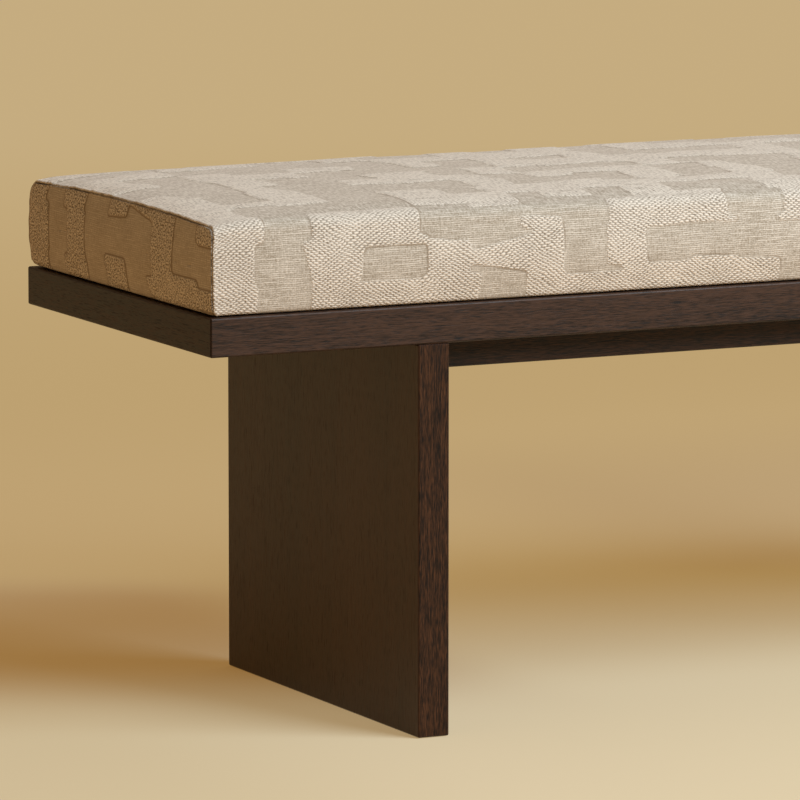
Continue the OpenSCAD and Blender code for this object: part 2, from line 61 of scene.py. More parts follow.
# %% The camera
def put(name, data):
    """An object with that data, put into the scene."""
    made = bpy.data.objects.new(name, data)
    bpy.context.scene.collection.objects.link(made)
    return made


def make_camera(name, place, turn_right, tilt_down, lens):
    """A camera at a place, turned right from +Y and tilted down by angles in degrees. The lens is in mm."""
    lens_data = bpy.data.cameras.new(name)
    lens_data.lens = lens
    lens_data.sensor_width, lens_data.clip_end = 36, 200
    made = put(name, lens_data)
    made.location = place
    made.rotation_euler = (math.radians(90 - tilt_down), 0, math.radians(-turn_right))
    return made


camera = make_camera("portrait_camera", (-3.3316, -6.0381, 1.2419),
                     turn_right=25.86, tilt_down=8.22, lens=334.8)
bpy.context.scene.camera = camera
print("lens", camera.data.lens, "mm")

# %% [markdown]
# ## Shader sums as Python
# A material's nodes are sums on paper: this mask times that noise, one minus
# the other. The class below wraps a socket, so that such a sum is written as
# Python writes it, and each operator adds one Math node. Colours and vectors
# keep their own nodes, because a Math node would turn a colour grey.

# %% Shader sums
def operator(operation, turned=False):
    """A method that adds one Math node of that operation, with its two values turned round where asked."""
    return lambda wire, *other: wire.sum(operation, *((*other, wire) if turned else (wire, *other)))


class Wire:
    """A number on its way through a material: an operator on it adds a Math node."""

    def __init__(self, finish, socket):
        self.finish, self.socket = finish, socket

    def sum(self, operation, *values, clamp=False):
        """One Math node, with the values in its sockets from the top."""
        settings = {"operation": operation, "use_clamp": clamp}
        return self.finish.node("ShaderNodeMath", settings, dict(enumerate(values)))

    __add__ = __radd__ = operator("ADD")
    __mul__ = __rmul__ = operator("MULTIPLY")
    __sub__, __rsub__ = operator("SUBTRACT"), operator("SUBTRACT", turned=True)
    __truediv__, __abs__ = operator("DIVIDE"), operator("ABSOLUTE")

    def cos(self):
        """The cosine, of an angle in radians."""
        return self.sum("COSINE", self)

    def clip(self):
        """The value held between 0 and 1."""
        return self.sum("ADD", self, 0.0, clamp=True)

    def ramp(self, low, high):
        """A smooth step from 0 to 1, as the value goes from low to high."""
        values = {"Value": self, "From Min": low, "From Max": high}
        return self.finish.node("ShaderNodeMapRange", {"interpolation_type": "SMOOTHSTEP"}, values)


class Finish:
    """A material in the making, with one Principled shader at its end."""

    def __init__(self, name, **constants):
        self.material = bpy.data.materials.new(name)
        self.material.use_nodes = True
        self.tree = self.material.node_tree
        self.shader = self.tree.nodes["Principled BSDF"]
        for socket, value in constants.items():
            self.shader.inputs[socket.replace("_", " ").title().replace("Ior", "IOR")].default_value = value

    def node(self, kind, settings=None, values=None, out=0):
        """Any node: its settings first, then the values or links of its sockets."""
        made = self.tree.nodes.new(kind)
        for name, value in (settings or {}).items():
            setattr(made, name, value)
        for name, value in (values or {}).items():
            if isinstance(value, Wire):
                self.tree.links.new(value.socket, made.inputs[name])
            else:
                made.inputs[name].default_value = value
        return Wire(self, made.outputs[out])

    def place(self):
        """The point on the surface, in the bench's own metres."""
        return self.node("ShaderNodeTexCoord", out="Object")

    def parts(self, vector):
        """The three numbers of a vector."""
        split = self.node("ShaderNodeSeparateXYZ", values={0: vector})
        return [Wire(self, socket) for socket in split.socket.node.outputs]

    def vector(self, x, y, z=0.0):
        """A vector from three numbers."""
        return self.node("ShaderNodeCombineXYZ", values={0: x, 1: y, 2: z})

    def noise(self, vector, scale=1.0, detail=2.0, rough=0.5):
        """Soft noise from 0 to 1 whose lumps are about 1 / scale across."""
        values = {"Vector": vector, "Scale": scale, "Detail": detail, "Roughness": rough}
        return self.node("ShaderNodeTexNoise", values=values)

    def streaks(self, place, scales, detail=1, rough=0.5):
        """Noise whose lumps are stretched: each number of the place is scaled by its own."""
        stretched = (part * scale for part, scale in zip(place, scales))
        return self.noise(self.vector(*stretched), detail=detail, rough=rough)

    def mix(self, share, first, second):
        """From the first colour to the second, by a share."""
        return self.node("ShaderNodeMix", {"data_type": "RGBA"}, {0: share, 6: first, 7: second}, out=2)

    def set(self, socket, value):
        """Links a value into the Principled shader."""
        self.tree.links.new(value.socket, self.shader.inputs[socket])

    def finished(self, colour, height, metres, rough=None):
        """The material with its colour, its roughness, and bump whose height of 1 stands for some metres."""
        self.set("Base Color", colour)
        if rough is not None:
            self.set("Roughness", rough)
        values = {"Strength": 1.0, "Distance": metres, "Height": height}
        self.set("Normal", self.node("ShaderNodeBump", values=values))
        return self.material


def rgba(red, green, blue):
    """A colour on the 0 to 255 scale of pictures, turned into the linear one of light."""
    part = np.array([red, green, blue]) / 255
    linear = np.where(part <= 0.04045, part / 12.92, ((part + 0.055) / 1.055) ** 2.4)
    return (*map(float, linear), 1.0)


def per_metre(pitch):
    """Radians along one metre, for a wave of that pitch."""
    return 2 * math.pi / pitch


print("a mid grey is", round(rgba(128, 128, 128)[0], 3), "in light")

# %% [markdown]
# ## The studio
# The floor is a plain sandy sheet that reaches far behind the bench. A large
# soft lamp stands to the right of the front and above, so the left end is in
# shade and the bench's shadow falls softly behind it. The shade is warm,
# because it is lit by the sand-coloured room and not by the lamp. In the
# floor's finish, depth is the way into the picture from the bench's middle.
# The floor glows a little by itself, more so far away. Near the bench that is
# painted fill light, which keeps the bench's shadow soft and warm; far off it is
# the pale backdrop. Soft patches of warmer or darker emission are painted shade
# and painted light beside and behind the bench.

# %% The studio
TARGET = np.array([0.0, 0.0, 0.35])
VIEW_X, VIEW_Y, DEEPER_RIGHT = 0.436, 0.9, 0.30
BLACK = (0, 0, 0, 1)


def floor_sheet(size):
    """One flat square on the ground, with its middle under the bench."""
    mesh = bpy.data.meshes.new("studio_floor")
    corners = [(-size, -size, 0), (size, -size, 0), (size, size, 0), (-size, size, 0)]
    mesh.from_pydata(corners, [], [(0, 1, 2, 3)])
    sheet = put("studio_floor", mesh)
    return sheet


def soft_lamp(name, towards, distance, size, power, colour):
    """A square lamp in a direction from the bench, turned to face it."""
    data = bpy.data.lights.new(name, "AREA")
    data.shape, data.size = "SQUARE", size
    data.energy, data.color = power, colour
    lamp = put(name, data)
    direction = np.array(towards) / np.linalg.norm(towards)
    lamp.location = TARGET + direction * distance
    lamp.rotation_euler = (math.acos(direction[2]), 0, math.atan2(direction[0], -direction[1]))


def sand_finish():
    """The floor: lit sand that glows by itself, as painted fill light, painted shade and painted light near
    the bench, and as the backdrop, which takes over far off. In bounced light it is brown.
    """
    sand = Finish("studio_sand", roughness=0.95, specular_ior_level=0.1, emission_strength=1.0)
    x, y, _ = sand.parts(sand.place())
    depth = x * VIEW_X + y * VIEW_Y - x.ramp(0.0, 1.0) * DEEPER_RIGHT
    camera_ray = sand.node("ShaderNodeLightPath", out="Is Camera Ray")
    glossy_ray = Wire(sand, camera_ray.socket.node.outputs["Is Glossy Ray"])
    seen = (camera_ray + glossy_ray).clip()
    behind_camera = depth.ramp(-0.7, -1.5)
    far = depth.ramp(0.4, 2.0) + behind_camera
    lit = sand.mix(far, (0.41, 0.40, 0.31, 1), BLACK)
    bounced = (0.68, 0.40, 0.15, 1)
    far_glow = sand.mix(depth.ramp(1.8, 4.5), rgba(188, 160, 112), rgba(196, 171, 127))
    far_glow = sand.mix(behind_camera, far_glow, rgba(210, 190, 152))
    # Near the bench the floor's emission is painted fill light, warm, and weaker further into the picture
    painted_light_and_backdrop = sand.mix(depth.ramp(-0.15, 0.65), (0.335, 0.237, 0.122, 1), (0.265, 0.145, 0.028, 1))
    # Shade behind the left end, light in the left corner, the far floor, and shade and light at the right
    patches = [
        (x.ramp(-0.22, -0.42) * depth.ramp(-0.3, 0.0) * depth.ramp(0.5, 0.33), (0.222, 0.108, 0.024, 1)),
        (x.ramp(-0.5, -0.8) * depth.ramp(-0.15, -0.4), (0.295, 0.200, 0.088, 1)),
        (far, far_glow),
        (x.ramp(0.0, 0.35) * depth.ramp(0.42, 0.55) * depth.ramp(1.4, 0.8) * 0.36, (0.18, 0.07, 0.005, 1)),
        (x.ramp(0.0, 0.35) * depth.ramp(0.0, 0.2) * depth.ramp(0.42, 0.3) * 0.15, (0.50, 0.35, 0.18, 1)),
    ]
    for share, colour in patches:
        painted_light_and_backdrop = sand.mix(share, painted_light_and_backdrop, colour)
    sand.set("Base Color", sand.mix(seen, bounced, lit))
    sand.set("Emission Color", sand.mix(seen, BLACK, painted_light_and_backdrop))
    return sand.material


studio = floor_sheet(60.0)
studio.data.materials.append(sand_finish())
soft_lamp("key_lamp", (0.8, -1.29, 1.0), distance=4.2, size=3.0, power=262, colour=(0.85, 0.925, 1.0))
world = bpy.data.worlds.new("studio_room")
bpy.context.scene.world = world
world.use_nodes = True
world.node_tree.nodes["Background"].inputs["Color"].default_value = (0.33, 0.215, 0.117, 1)
bpy.context.scene.view_settings.view_transform = "Standard"

# %% [markdown]
# ## Stained wood
# The frame is a straight-grained wood under a dark brown stain and a satin
# lacquer. Grain is noise pulled long in one direction: broad tone bands, fine
# fibres, and short dark pores. Each piece's grain runs along its length, so
# the finish is made once for each direction, and once more, calmer and with a
# little more gloss, for the veneer on the legs.

# %% Stained wood
def grain_space(finish, along, shift):
    """The place, turned so that its first number runs along the grain, with slow waves across it."""
    xyz = finish.parts(finish.place())
    length = xyz[along] + shift
    a, b = (part for index, part in enumerate(xyz) if index != along)
    sway = (finish.streaks((length, a, b), (2.2, 5, 5), 2) - 0.5) * 0.006
    return length, a + sway, b + sway


def stained_wood(name, along, shift, dark, light, gloss, contrast=1.0):
    """Stained wood with its grain along one axis: bands of tone, short fibres, pores and a satin lacquer."""
    wood = Finish(name, ior=1.45, specular_ior_level=gloss)
    place = grain_space(wood, along, shift)
    broad = wood.streaks(place, (0.9, 11, 11)) - 0.5
    bands = wood.streaks(place, (3, 70, 70), 2) - 0.5
    fibres = wood.streaks(place, (55, 1150, 1150), 2, 0.6) - 0.5
    fine = wood.streaks(place, (140, 1900, 1900)) - 0.5
    pores = wood.streaks(place, (80, 1300, 1300)).ramp(0.56, 0.70)
    tone = broad * 1.1 + bands * 0.8 + fibres * 2.3 + fine * 1.8 - pores * 0.35
    colour = wood.mix((tone * contrast + 0.5).clip(), dark, light)
    relief = fibres * 0.4 + fine * 0.2 - pores * 0.3
    return wood.finished(colour, relief, 0.0001, rough=0.42 + fibres * 0.25 + pores * 0.15)


woods = {
    "long": stained_wood("stained_wood_long", 0, 0.0, rgba(14, 9, 7), rgba(65, 45, 33), 0.30),
    "deep": stained_wood("stained_wood_deep", 1, 3.1, rgba(26, 15, 9), rgba(60, 38, 25), 0.26),
    "tall": stained_wood("stained_wood_tall", 2, 7.7, rgba(21, 12, 7), rgba(80, 51, 30), 0.20),
    "veneer": stained_wood("stained_veneer", 2, 5.2, rgba(30, 18, 12), rgba(74, 49, 34), 0.36, 0.45),
}
GRAIN = {
    "long": ["deck_front_lipping", "deck_back_lipping", "deck_lower_ply", "front_rail", "back_rail"],
    "deep": ["deck_left_lipping", "deck_right_lipping",
             "left_cross_rail", "right_cross_rail", "centre_cross_rail"],
    "tall": [f"{side}_leg_{end}_lipping" for side in ("left", "right") for end in ("front", "back")],
    "veneer": ["left_leg_core", "right_leg_core"],
}
ARRIS, SHARP_ANGLE, SAME_POINT = 0.0006, math.radians(40), 0.00001


def dress(names, material, arris=0.0):
    """Gives CAD pieces a finish, and softens their arrises where a radius is given."""
    for name in names:
        piece = nodes[name]
        if arris > 0:
            piece.modifiers.new("weld", "WELD").merge_threshold = SAME_POINT
            round_over = piece.modifiers.new("arris", "BEVEL")
            round_over.width, round_over.segments = arris, 2
            round_over.limit_method, round_over.angle_limit = "ANGLE", SHARP_ANGLE
        piece.data.materials.clear()
        piece.data.materials.append(material)


for direction, names in GRAIN.items():
    edging = [n for n in names if "deck" in n and "lipping" in n]
    dress(edging, woods[direction], arris=ARRIS)
    dress([n for n in names if n not in edging], woods[direction])
print("stained:", sum(map(len, GRAIN.values())), "pieces")

# %% [markdown]
# ## Plain wood, steel, brass and nylon
# The hidden pieces have finishes too: birch plywood with its layers, beech
# dowels, zinc-plated and blackened steel, the inserts' brass, and the dark
# nylon of the glides. Machined metal has fine scratches that change its gloss.

# %% The hidden finishes
def plywood():
    """Pale birch plywood: thin layers up the edge, long soft grain on the faces."""
    ply = Finish("birch_plywood", roughness=0.62)
    place = ply.parts(ply.place())
    layers = (place[2] * per_metre(0.0028)).cos().ramp(-0.4, 0.4)
    grain = ply.streaks(place, (4, 160, 160), 3)
    fleck = ply.streaks(place, (40, 900, 900)).ramp(0.6, 0.75)
    tone = (0.35 + (grain - 0.5) * 0.9 + layers * 0.25 + fleck * 0.2).clip()
    colour = ply.mix(tone, rgba(222, 190, 146), rgba(178, 138, 94))
    return ply.finished(colour, grain * 0.4 + layers * 0.3, 0.0002)


def beech():
    """Light pinkish beech with short flecks."""
    wood = Finish("beech", roughness=0.55)
    fleck = wood.streaks(wood.parts(wood.place()), (300, 300, 120), 2)
    return wood.finished(wood.mix(fleck, rgba(226, 184, 140), rgba(182, 132, 88)), fleck, 0.0001)


def metal(name, pale, deep, rough):
    """Plated metal: small patches of tone, and fine scratches in the gloss."""
    plate = Finish(name, metallic=1.0)
    patches = plate.noise(plate.place(), 260, 3)
    scratches = plate.noise(plate.place(), 2600, 2)
    colour = plate.mix(patches, pale, deep)
    return plate.finished(colour, scratches, 0.00003, rough=rough + (scratches - 0.5) * 0.3)


def nylon():
    """Dark moulded nylon, slightly mottled and scuffed."""
    plastic = Finish("glide_nylon")
    mottle = plastic.noise(plastic.place(), 700, 3)
    colour = plastic.mix(mottle, rgba(30, 28, 26), rgba(52, 48, 45))
    return plastic.finished(colour, mottle, 0.00008, rough=0.45 + mottle * 0.3)


dress(["deck_upper_ply", "seat_board"], plywood())
dress(["deck_tongues", "leg_dowels", "rail_end_dowels", "centre_rail_dowels"], beech())
dress(["leg_bolts", "pad_bolts"], metal("black_steel", rgba(62, 58, 54), rgba(40, 37, 35), 0.42))
dress(["rail_screws", "leg_washers", "pad_washers", "tee_nuts"],
      metal("zinc_plate", rgba(190, 188, 182), rgba(150, 148, 140), 0.36))
dress(["leg_inserts"], metal("insert_brass", rgba(206, 178, 112), rgba(160, 128, 72), 0.34))
dress(["floor_glides"], nylon())
print("materials:", len(bpy.data.materials))

# %% [markdown]
# ## The pad's shape
# The pad is a box of foam wrapped in batting and pulled into a cover. One long
# band of cloth goes up the front, over the top and down the back, and two end
# panels close it. In section the cloth turns in under the pad, rises up a side
# that swells between its edges, rounds the edge and crowns over the top. Near
# the end seams the top dips, because the seam holds it down. The lower edge
# hangs 1.2 mm clear of the deck, so that a thin dark gap shows below the pad.

# %% The pad's sizes
HALF_LENGTH, HALF_DEPTH = 0.685, 0.203
DECK_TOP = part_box("deck_upper_ply")[1].z
# Height at the end seams, the crown's rises, and the run over which it rises
PAD_H, CROWN_ACROSS, CROWN_ALONG, CROWN_RUN = 0.079, 0.0045, 0.0045, 0.018
# Radius of the top edges and of the turn under the pad, width of the hem, and the clear lower edge
FRONT_R, BACK_R, ROLL_R, HEM, TUCK, TUCK_RUN = 0.010, 0.014, 0.004, 0.035, 0.0012, 0.0035
# Height where the sides stand out most, how far they draw in below and above, and the end panels' swell
BELLY, LOW_DRAW, TOP_DRAW, END_SWELL = 0.038, 0.0025, 0.002, 0.001
print(f"the pad stands on the deck at {DECK_TOP * 1000:.0f} mm and is {PAD_H * 1000:.0f} mm high at its ends")


# %% The pad's section

def side_inset(z):
    """How far a side stands in at a height: nothing at the belly, more below it and above it, as squares."""
    below = LOW_DRAW * ((BELLY - z) / BELLY) ** 2
    above = TOP_DRAW * ((z - BELLY) / (PAD_H - BELLY)) ** 2
    return np.where(z < BELLY, below, above)


def half_section(edge_r, n_hem, n_roll, n_face, n_arc):
    """Half of the section: hem, roll, side, edge. Inset, height at the ends and far off, the end's inset."""
    roll_in = side_inset(ROLL_R) + ROLL_R
    hem_in = np.linspace(HEM, roll_in, n_hem, endpoint=False)
    hem_z = TUCK * np.exp(-(((hem_in - roll_in) / TUCK_RUN) ** 2))
    hem = np.stack([hem_in, hem_z, hem_z, hem_in], 1)
    turn = np.linspace(1.5 * np.pi, np.pi, n_roll, endpoint=False)
    roll_x, roll_z = roll_in + ROLL_R * np.cos(turn), TUCK + ROLL_R * (1 + np.sin(turn))
    roll = np.stack([roll_x, roll_z, roll_z, roll_x], 1)
    low, high, far = TUCK + ROLL_R, PAD_H - edge_r, PAD_H + CROWN_ALONG - edge_r
    share = np.linspace(0, 1, n_face, endpoint=False)
    face_in = side_inset(low + (high - low) * share)
    face = np.stack([face_in, low + (high - low) * share, low + (far - low) * share, face_in], 1)
    turn = np.linspace(np.pi, np.pi / 2, n_arc)
    arc_in = side_inset(high) + edge_r * (1 + np.cos(turn))
    rise = edge_r * np.sin(turn)
    arc = np.stack([arc_in, high + rise, far + rise, side_inset(high + rise)], 1)
    return np.concatenate([hem, roll, face, arc])


def section(n_hem, n_roll, n_face, n_arc, n_top):
    """The whole section from the front hem over the top to the back hem: y, two heights, the end's inset."""
    front = half_section(FRONT_R, n_hem, n_roll, n_face, n_arc)
    back = half_section(BACK_R, n_hem, n_roll, n_face, n_arc)[::-1]
    y0, y1 = -HALF_DEPTH + front[-1, 0], HALF_DEPTH - back[0, 0]
    t = np.linspace(-1, 1, n_top + 1)[1:-1]
    crown = CROWN_ACROSS * (1 - t ** 2)
    y = y0 + (y1 - y0) * (t + 1) / 2
    inset = np.full(len(t), float(side_inset(PAD_H)))
    top = np.stack([y, PAD_H + crown, PAD_H + CROWN_ALONG + crown, inset], 1)
    front[:, 0] -= HALF_DEPTH
    back[:, 0] = HALF_DEPTH - back[:, 0]
    return np.concatenate([front, top, back])


def girth(rows):
    """Length along the section from its first point to each point."""
    steps = np.hypot(np.diff(rows[:, 0]), np.diff(rows[:, 2]))
    return np.concatenate([[0], np.cumsum(steps)])


def band_surface(stations, rows):
    """The band, at stations from -1 to 1 along it and rows of the section. Its top rises off the ends."""
    s = stations[:, None]
    run = (1 - abs(s)) * HALF_LENGTH
    lift = 1 - np.exp(-run / CROWN_RUN)
    x = s * (HALF_LENGTH - rows[:, 3])
    y = np.broadcast_to(rows[:, 0], x.shape)
    z = DECK_TOP + rows[:, 1] + lift * (rows[:, 2] - rows[:, 1])
    return np.stack([x, y, z], 2)


# %% The surfaces of the end panels
def end_bulge(y, z):
    """How far an end panel stands out at a place on it: most in the middle, nothing at its edges."""
    across = np.clip(abs(y) / HALF_DEPTH, 0, 1)
    height = np.clip(z / PAD_H, 0, 1)
    return END_SWELL * (1 - across ** 4) * 4 * height * (1 - height)


SPINE_Y, SPINE_Z = HALF_DEPTH - 0.040, 0.042


def bottom_line(rows, low):
    """Places across an end panel's bottom, from the back. Inside the spine's reach they are the top's."""
    first, last = rows[len(rows) - 1 - low, 0], rows[low, 0]
    inner = np.unique(rows[abs(rows[:, 0]) < SPINE_Y, 0])[::-1]
    step = max(2, int(round((first - SPINE_Y) / abs(inner[0] - inner[1]))))
    return np.concatenate([np.linspace(first, SPINE_Y, step), inner, np.linspace(-SPINE_Y, last, step)])


def end_loop(rows, low):
    """The end panel's outline above the roll, as y, z, inset: up the front, over, down the back and home."""
    seam = rows[low:len(rows) - low][:, [0, 1, 3]]
    y = bottom_line(rows, low)[1:-1]
    bottom = np.stack([y, np.full(len(y), seam[0, 1]), np.full(len(y), seam[0, 2])], 1)
    return np.concatenate([seam, bottom])


def end_face(loop, shares):
    """The end panel: straight lines from its outline to a spine along its middle, at shares of the way."""
    spine = np.stack([np.clip(loop[:, 0], -SPINE_Y, SPINE_Y), np.full(len(loop), SPINE_Z)], 1)
    t = shares[None, :, None]
    yz = loop[:, None, :2] * (1 - t) + spine[:, None] * t
    y, z = yz[..., 0], yz[..., 1]
    inset = side_inset(z)
    inset[:, 0] = loop[:, 2]
    x = HALF_LENGTH - inset + end_bulge(y, z) * (shares > 0)
    return np.stack([x, y, DECK_TOP + z], 2)


def end_roll(rows, low):
    """The strip under the end panel: it turns in and becomes the hem, between the two mitred corners."""
    line = bottom_line(rows, low)
    w = ((line - line[-1]) / (line[0] - line[-1]))[None, :]
    front, back = rows[:low + 1, None], rows[::-1][:low + 1, None]
    y = back[..., 0] * w + front[..., 0] * (1 - w)
    x = np.broadcast_to(HALF_LENGTH - front[..., 3], y.shape)
    z = np.broadcast_to(DECK_TOP + front[..., 1], y.shape)
    return np.stack([x, y, z], 2)


probe = section(1, 2, 6, 4, 30)
print(f"the cloth measures {girth(probe)[-1] * 1000:.0f} mm round the section")

# %% [markdown]
# ## The pull of the cover
# A sewn cover isn't the shape of its drawing: the stuffing pushes it out and
# the seams hold it back. So a coarse copy of the cover, closed below and held
# where it is stapled, is blown up a little by the cloth solver. What moved,
# with a cap on it, is carried over to the fine surfaces later on.

# %% Grids and meshes
SAME_PLACE = 2e-5


def grid_faces(columns, rows, flip=False, closed=False):
    """Quads between neighbours on a grid of points, whose last column may meet the first."""
    index = np.arange(columns * rows).reshape(columns, rows)
    if closed:
        index = np.concatenate([index, index[:1]])
    quads = np.stack([index[:-1, :-1], index[1:, :-1], index[1:, 1:], index[:-1, 1:]], -1).reshape(-1, 4)
    return quads[:, ::-1] if flip else quads


def welded(grids, faces):
    """Grids joined into one mesh: its points, its quads, where each grid's points went, and their sources."""
    points = np.concatenate([g.reshape(-1, 3) for g in grids])
    starts = np.cumsum([0] + [g.size // 3 for g in grids])
    quads = np.concatenate([f + start for f, start in zip(faces, starts)])
    cells = np.round(points / SAME_PLACE).astype(np.int64)
    _, first, place = np.unique(cells, axis=0, return_index=True, return_inverse=True)
    place = place.reshape(-1)
    homes = [place[a:b].reshape(g.shape[:-1]) for a, b, g in zip(starts, starts[1:], grids)]
    return points[first], place[quads], homes, first


def mesh_object(name, points, quads, smooth=False):
    """A mesh object at the origin from points and quads, without the quads' doubled corners."""
    triangle = (quads == np.roll(quads, 1, 1)).any(1)
    faces = quads[~triangle].tolist() + [list(dict.fromkeys(quad)) for quad in quads[triangle].tolist()]
    mesh = bpy.data.meshes.new(name)
    mesh.from_pydata(points.tolist(), [], [f for f in faces if len(f) > 2])
    mesh.polygons.foreach_set("use_smooth", np.full(len(mesh.polygons), smooth))
    return put(name, mesh)


def thicken(piece, thickness):
    """Gives a sheet its thickness, inwards from the surface that was worked out."""
    solid = piece.modifiers.new("thickness", "SOLIDIFY")
    solid.thickness, solid.offset = thickness, -1


def stands_for(piece, node, finish):
    """Gives a piece its finish, hangs it on the root body, and hides the drawn piece in whose place it
    stands.
    """
    piece.data.materials.append(finish)
    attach(piece, "root")
    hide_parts(node)
    print(piece.name, len(piece.data.polygons), "faces")


# %% The coarse cover
# Steps in the hem, the roll, the side, the edge and the top
COARSE_STEPS = (1, 2, 5, 3, 28)
COARSE_LOW, coarse_rows = sum(COARSE_STEPS[:2]), section(*COARSE_STEPS)
coarse_stations = np.linspace(-1, 1, 101)
coarse_shares = np.array([0, 0.3, 0.65, 1.0])
MIRROR = np.array([-1, 1, 1])


def coarse_cover():
    """The coarse cover: band, right face and roll, left face and roll, and a sheet that closes it below."""
    band = band_surface(coarse_stations, coarse_rows)
    face = end_face(end_loop(coarse_rows, COARSE_LOW), coarse_shares)
    roll = end_roll(coarse_rows, COARSE_LOW)
    x, y = np.meshgrid(coarse_stations * (HALF_LENGTH - HEM), roll[0, :, 1], indexing="ij")
    below = np.stack([x, y, np.full(x.shape, DECK_TOP)], 2)
    grids = [band, face, roll, face * MIRROR, roll * MIRROR, below]
    turned = [False, True, False, False, True, False]
    rings = [False, True, False, True, False, False]
    return grids, [grid_faces(*g.shape[:2], flip=f, closed=c) for g, f, c in zip(grids, turned, rings)]


# %% The cloth solver
SOLVER = {"quality": 6, "mass": 0.35, "tension_stiffness": 500, "compression_stiffness": 500,
          "shear_stiffness": 100, "bending_stiffness": 5, "use_pressure": True, "uniform_pressure_force": 4.0}
# How long the solver runs, the cap on what it moves, and the hold of the stuffing on the cloth
FRAMES, CAP, STUFFING = 20, 0.004, 0.22


def blown_up(points, quads, held):
    """How far each point of a closed cover moves when the cloth solver presses from inside for some frames.

    The held points stay, and the others are held a little too, as the stuffing holds them."""
    bag = mesh_object("cover_trial", points, quads)
    group = bag.vertex_groups.new(name="held")
    group.add(list(range(len(points))), STUFFING, "REPLACE")
    group.add([int(i) for i in held], 1.0, "REPLACE")
    cloth = bag.modifiers.new("pull", "CLOTH")
    for setting, value in SOLVER.items():
        setattr(cloth.settings, setting, value)
    cloth.settings.effector_weights.gravity = 0
    cloth.settings.vertex_group_mass = "held"
    cloth.point_cache.frame_start, cloth.point_cache.frame_end = 1, FRAMES
    scene = bpy.context.scene
    for moment in range(1, FRAMES + 1):
        scene.frame_set(moment)
    solved = bag.evaluated_get(bpy.context.evaluated_depsgraph_get()).data
    after = np.zeros(len(solved.vertices) * 3)
    solved.vertices.foreach_get("co", after)
    scene.frame_set(1)
    bpy.data.objects.remove(bag)
    return after.reshape(-1, 3) - points


grids, faces = coarse_cover()
points, quads, homes, _ = welded(grids, faces)
moves = np.zeros_like(points)
low = COARSE_LOW + 1
stapled = [homes[0][:, :low], homes[0][:, -low:], homes[2], homes[4], homes[5]]
moves = blown_up(points, quads, np.unique(np.concatenate([part.ravel() for part in stapled])))
reach = np.linalg.norm(moves, axis=1, keepdims=True)
print(f"the solver moved the cloth by {reach.mean() * 1000:.2f} mm on average, "
      f"at most {reach.max() * 1000:.2f} mm")
moves *= np.minimum(1, CAP / np.maximum(reach, 1e-9))

# %% [markdown]
# ## The woven pattern
# The cloth is a jacquard in two weaves: a fine plain ground, and raised blocks
# of thick cream floats. The blocks are a design of this bench's own, like
# pieces of broken frames. An uneven lattice has narrow and wide cells by turns.
# A crossing of two narrow strips is raised most often, a piece of one strip
# every second time, and a wide cell rarely. Where four neighbours come out alike,
# one of them is turned over. Each border leans or jogs a little.
# The material has to know how far a point is from a block's edge. So the
# design is drawn once on a fine grid and softened, and the soft value is
# turned back into a distance.

# %% The block design
# The grid's cell, the design's reach, and how wide the narrow and wide cells of the lattice are
CELL = 0.001
DESIGN_U, DESIGN_V = (-0.74, 0.74), (-0.02, 0.86)
NARROW_U, WIDE_U, NARROW_V, WIDE_V = (0.034, 0.052), (0.040, 0.066), (0.030, 0.042), (0.032, 0.046)
RAISED_CHANCE = np.array([[0.20, 0.48], [0.52, 0.85]])
JOG, LEAN, STAGGER, SLOPE = 0.007, 0.016, 0.010, 0.2
dice = np.random.default_rng(8)


def lattice_marks(start, stop, narrow, wide):
    """Marks from start to stop whose steps are wide and narrow by turns."""
    count = 2 * int((stop - start) / (narrow[0] + wide[0]) + 1)
    steps = dice.uniform(*wide, count)
    steps[1::2] = dice.uniform(*narrow, len(steps[1::2]))
    marks = start + np.cumsum(steps)
    return marks[marks < stop]


def block_map():
    """1 inside a raised block and 0 outside: columns with levels of their own, and a table of chances."""
    u, v = np.arange(*DESIGN_U, CELL), np.arange(*DESIGN_V, CELL)
    sides = lattice_marks(*DESIGN_U, NARROW_U, WIDE_U)
    levels = lattice_marks(*DESIGN_V, NARROW_V, WIDE_V)
    ends = np.append(levels[1:], levels[-1] + 0.05) - 1e-5
    column = np.zeros((len(u), len(v)), int)
    for side in sides:
        jog = dice.uniform(-JOG, JOG, len(levels))
        lean = dice.choice([0, 0, 1], len(levels)) * dice.uniform(-LEAN, LEAN, len(levels))
        places, border = np.stack([levels, ends], 1), np.stack([side + jog, side + jog + lean], 1)
        column += u[:, None] > np.interp(v, places.ravel(), border.ravel())
    row = np.zeros(column.shape, int)
    for index in range(len(sides) + 1):
        middle = sides[min(index, len(sides) - 1)]
        for level in levels + dice.uniform(-STAGGER, STAGGER, len(levels)):
            slope = dice.choice([0, 0, 1]) * dice.uniform(-SLOPE, SLOPE)
            row += (column == index) & (v > level + slope * (u[:, None] - middle))
    chance = np.tile(RAISED_CHANCE, (len(sides) // 2 + 1, len(levels) // 2 + 1))
    raised = dice.random(chance.shape) < chance
    for i, j in np.ndindex(raised.shape[0] - 1, raised.shape[1] - 1):
        square = raised[i:i + 2, j:j + 2]
        if square.all() or not square.any():
            square[1, dice.integers(2)] ^= True
    return raised[column, row].astype(float)


# %% From the design to a distance
def softened(field, reach):
    """A field blurred by a bell curve of that reach in cells, along one side and then along the other."""
    taps = np.arange(-3 * reach, 3 * reach + 1)
    bell = np.exp(-0.5 * (taps / reach) ** 2)
    bell /= bell.sum()
    for axis in (0, 1):
        margins = [(3 * reach, 3 * reach) if a == axis else (0, 0) for a in (0, 1)]
        padded, size = np.pad(field, margins, mode="edge"), field.shape[axis]
        field = sum(w * np.take(padded, np.arange(i, i + size), axis=axis) for i, w in enumerate(bell))
    return field


REACH, BELL_TO_LOGISTIC = 2, 1.702
soft = np.clip(softened(block_map(), REACH), 1e-4, 1 - 1e-4)
edge_distance = REACH * CELL * np.log(soft / (1 - soft)) / BELL_TO_LOGISTIC
print(f"raised share of the cloth: {(soft > 0.5).mean():.2f}")


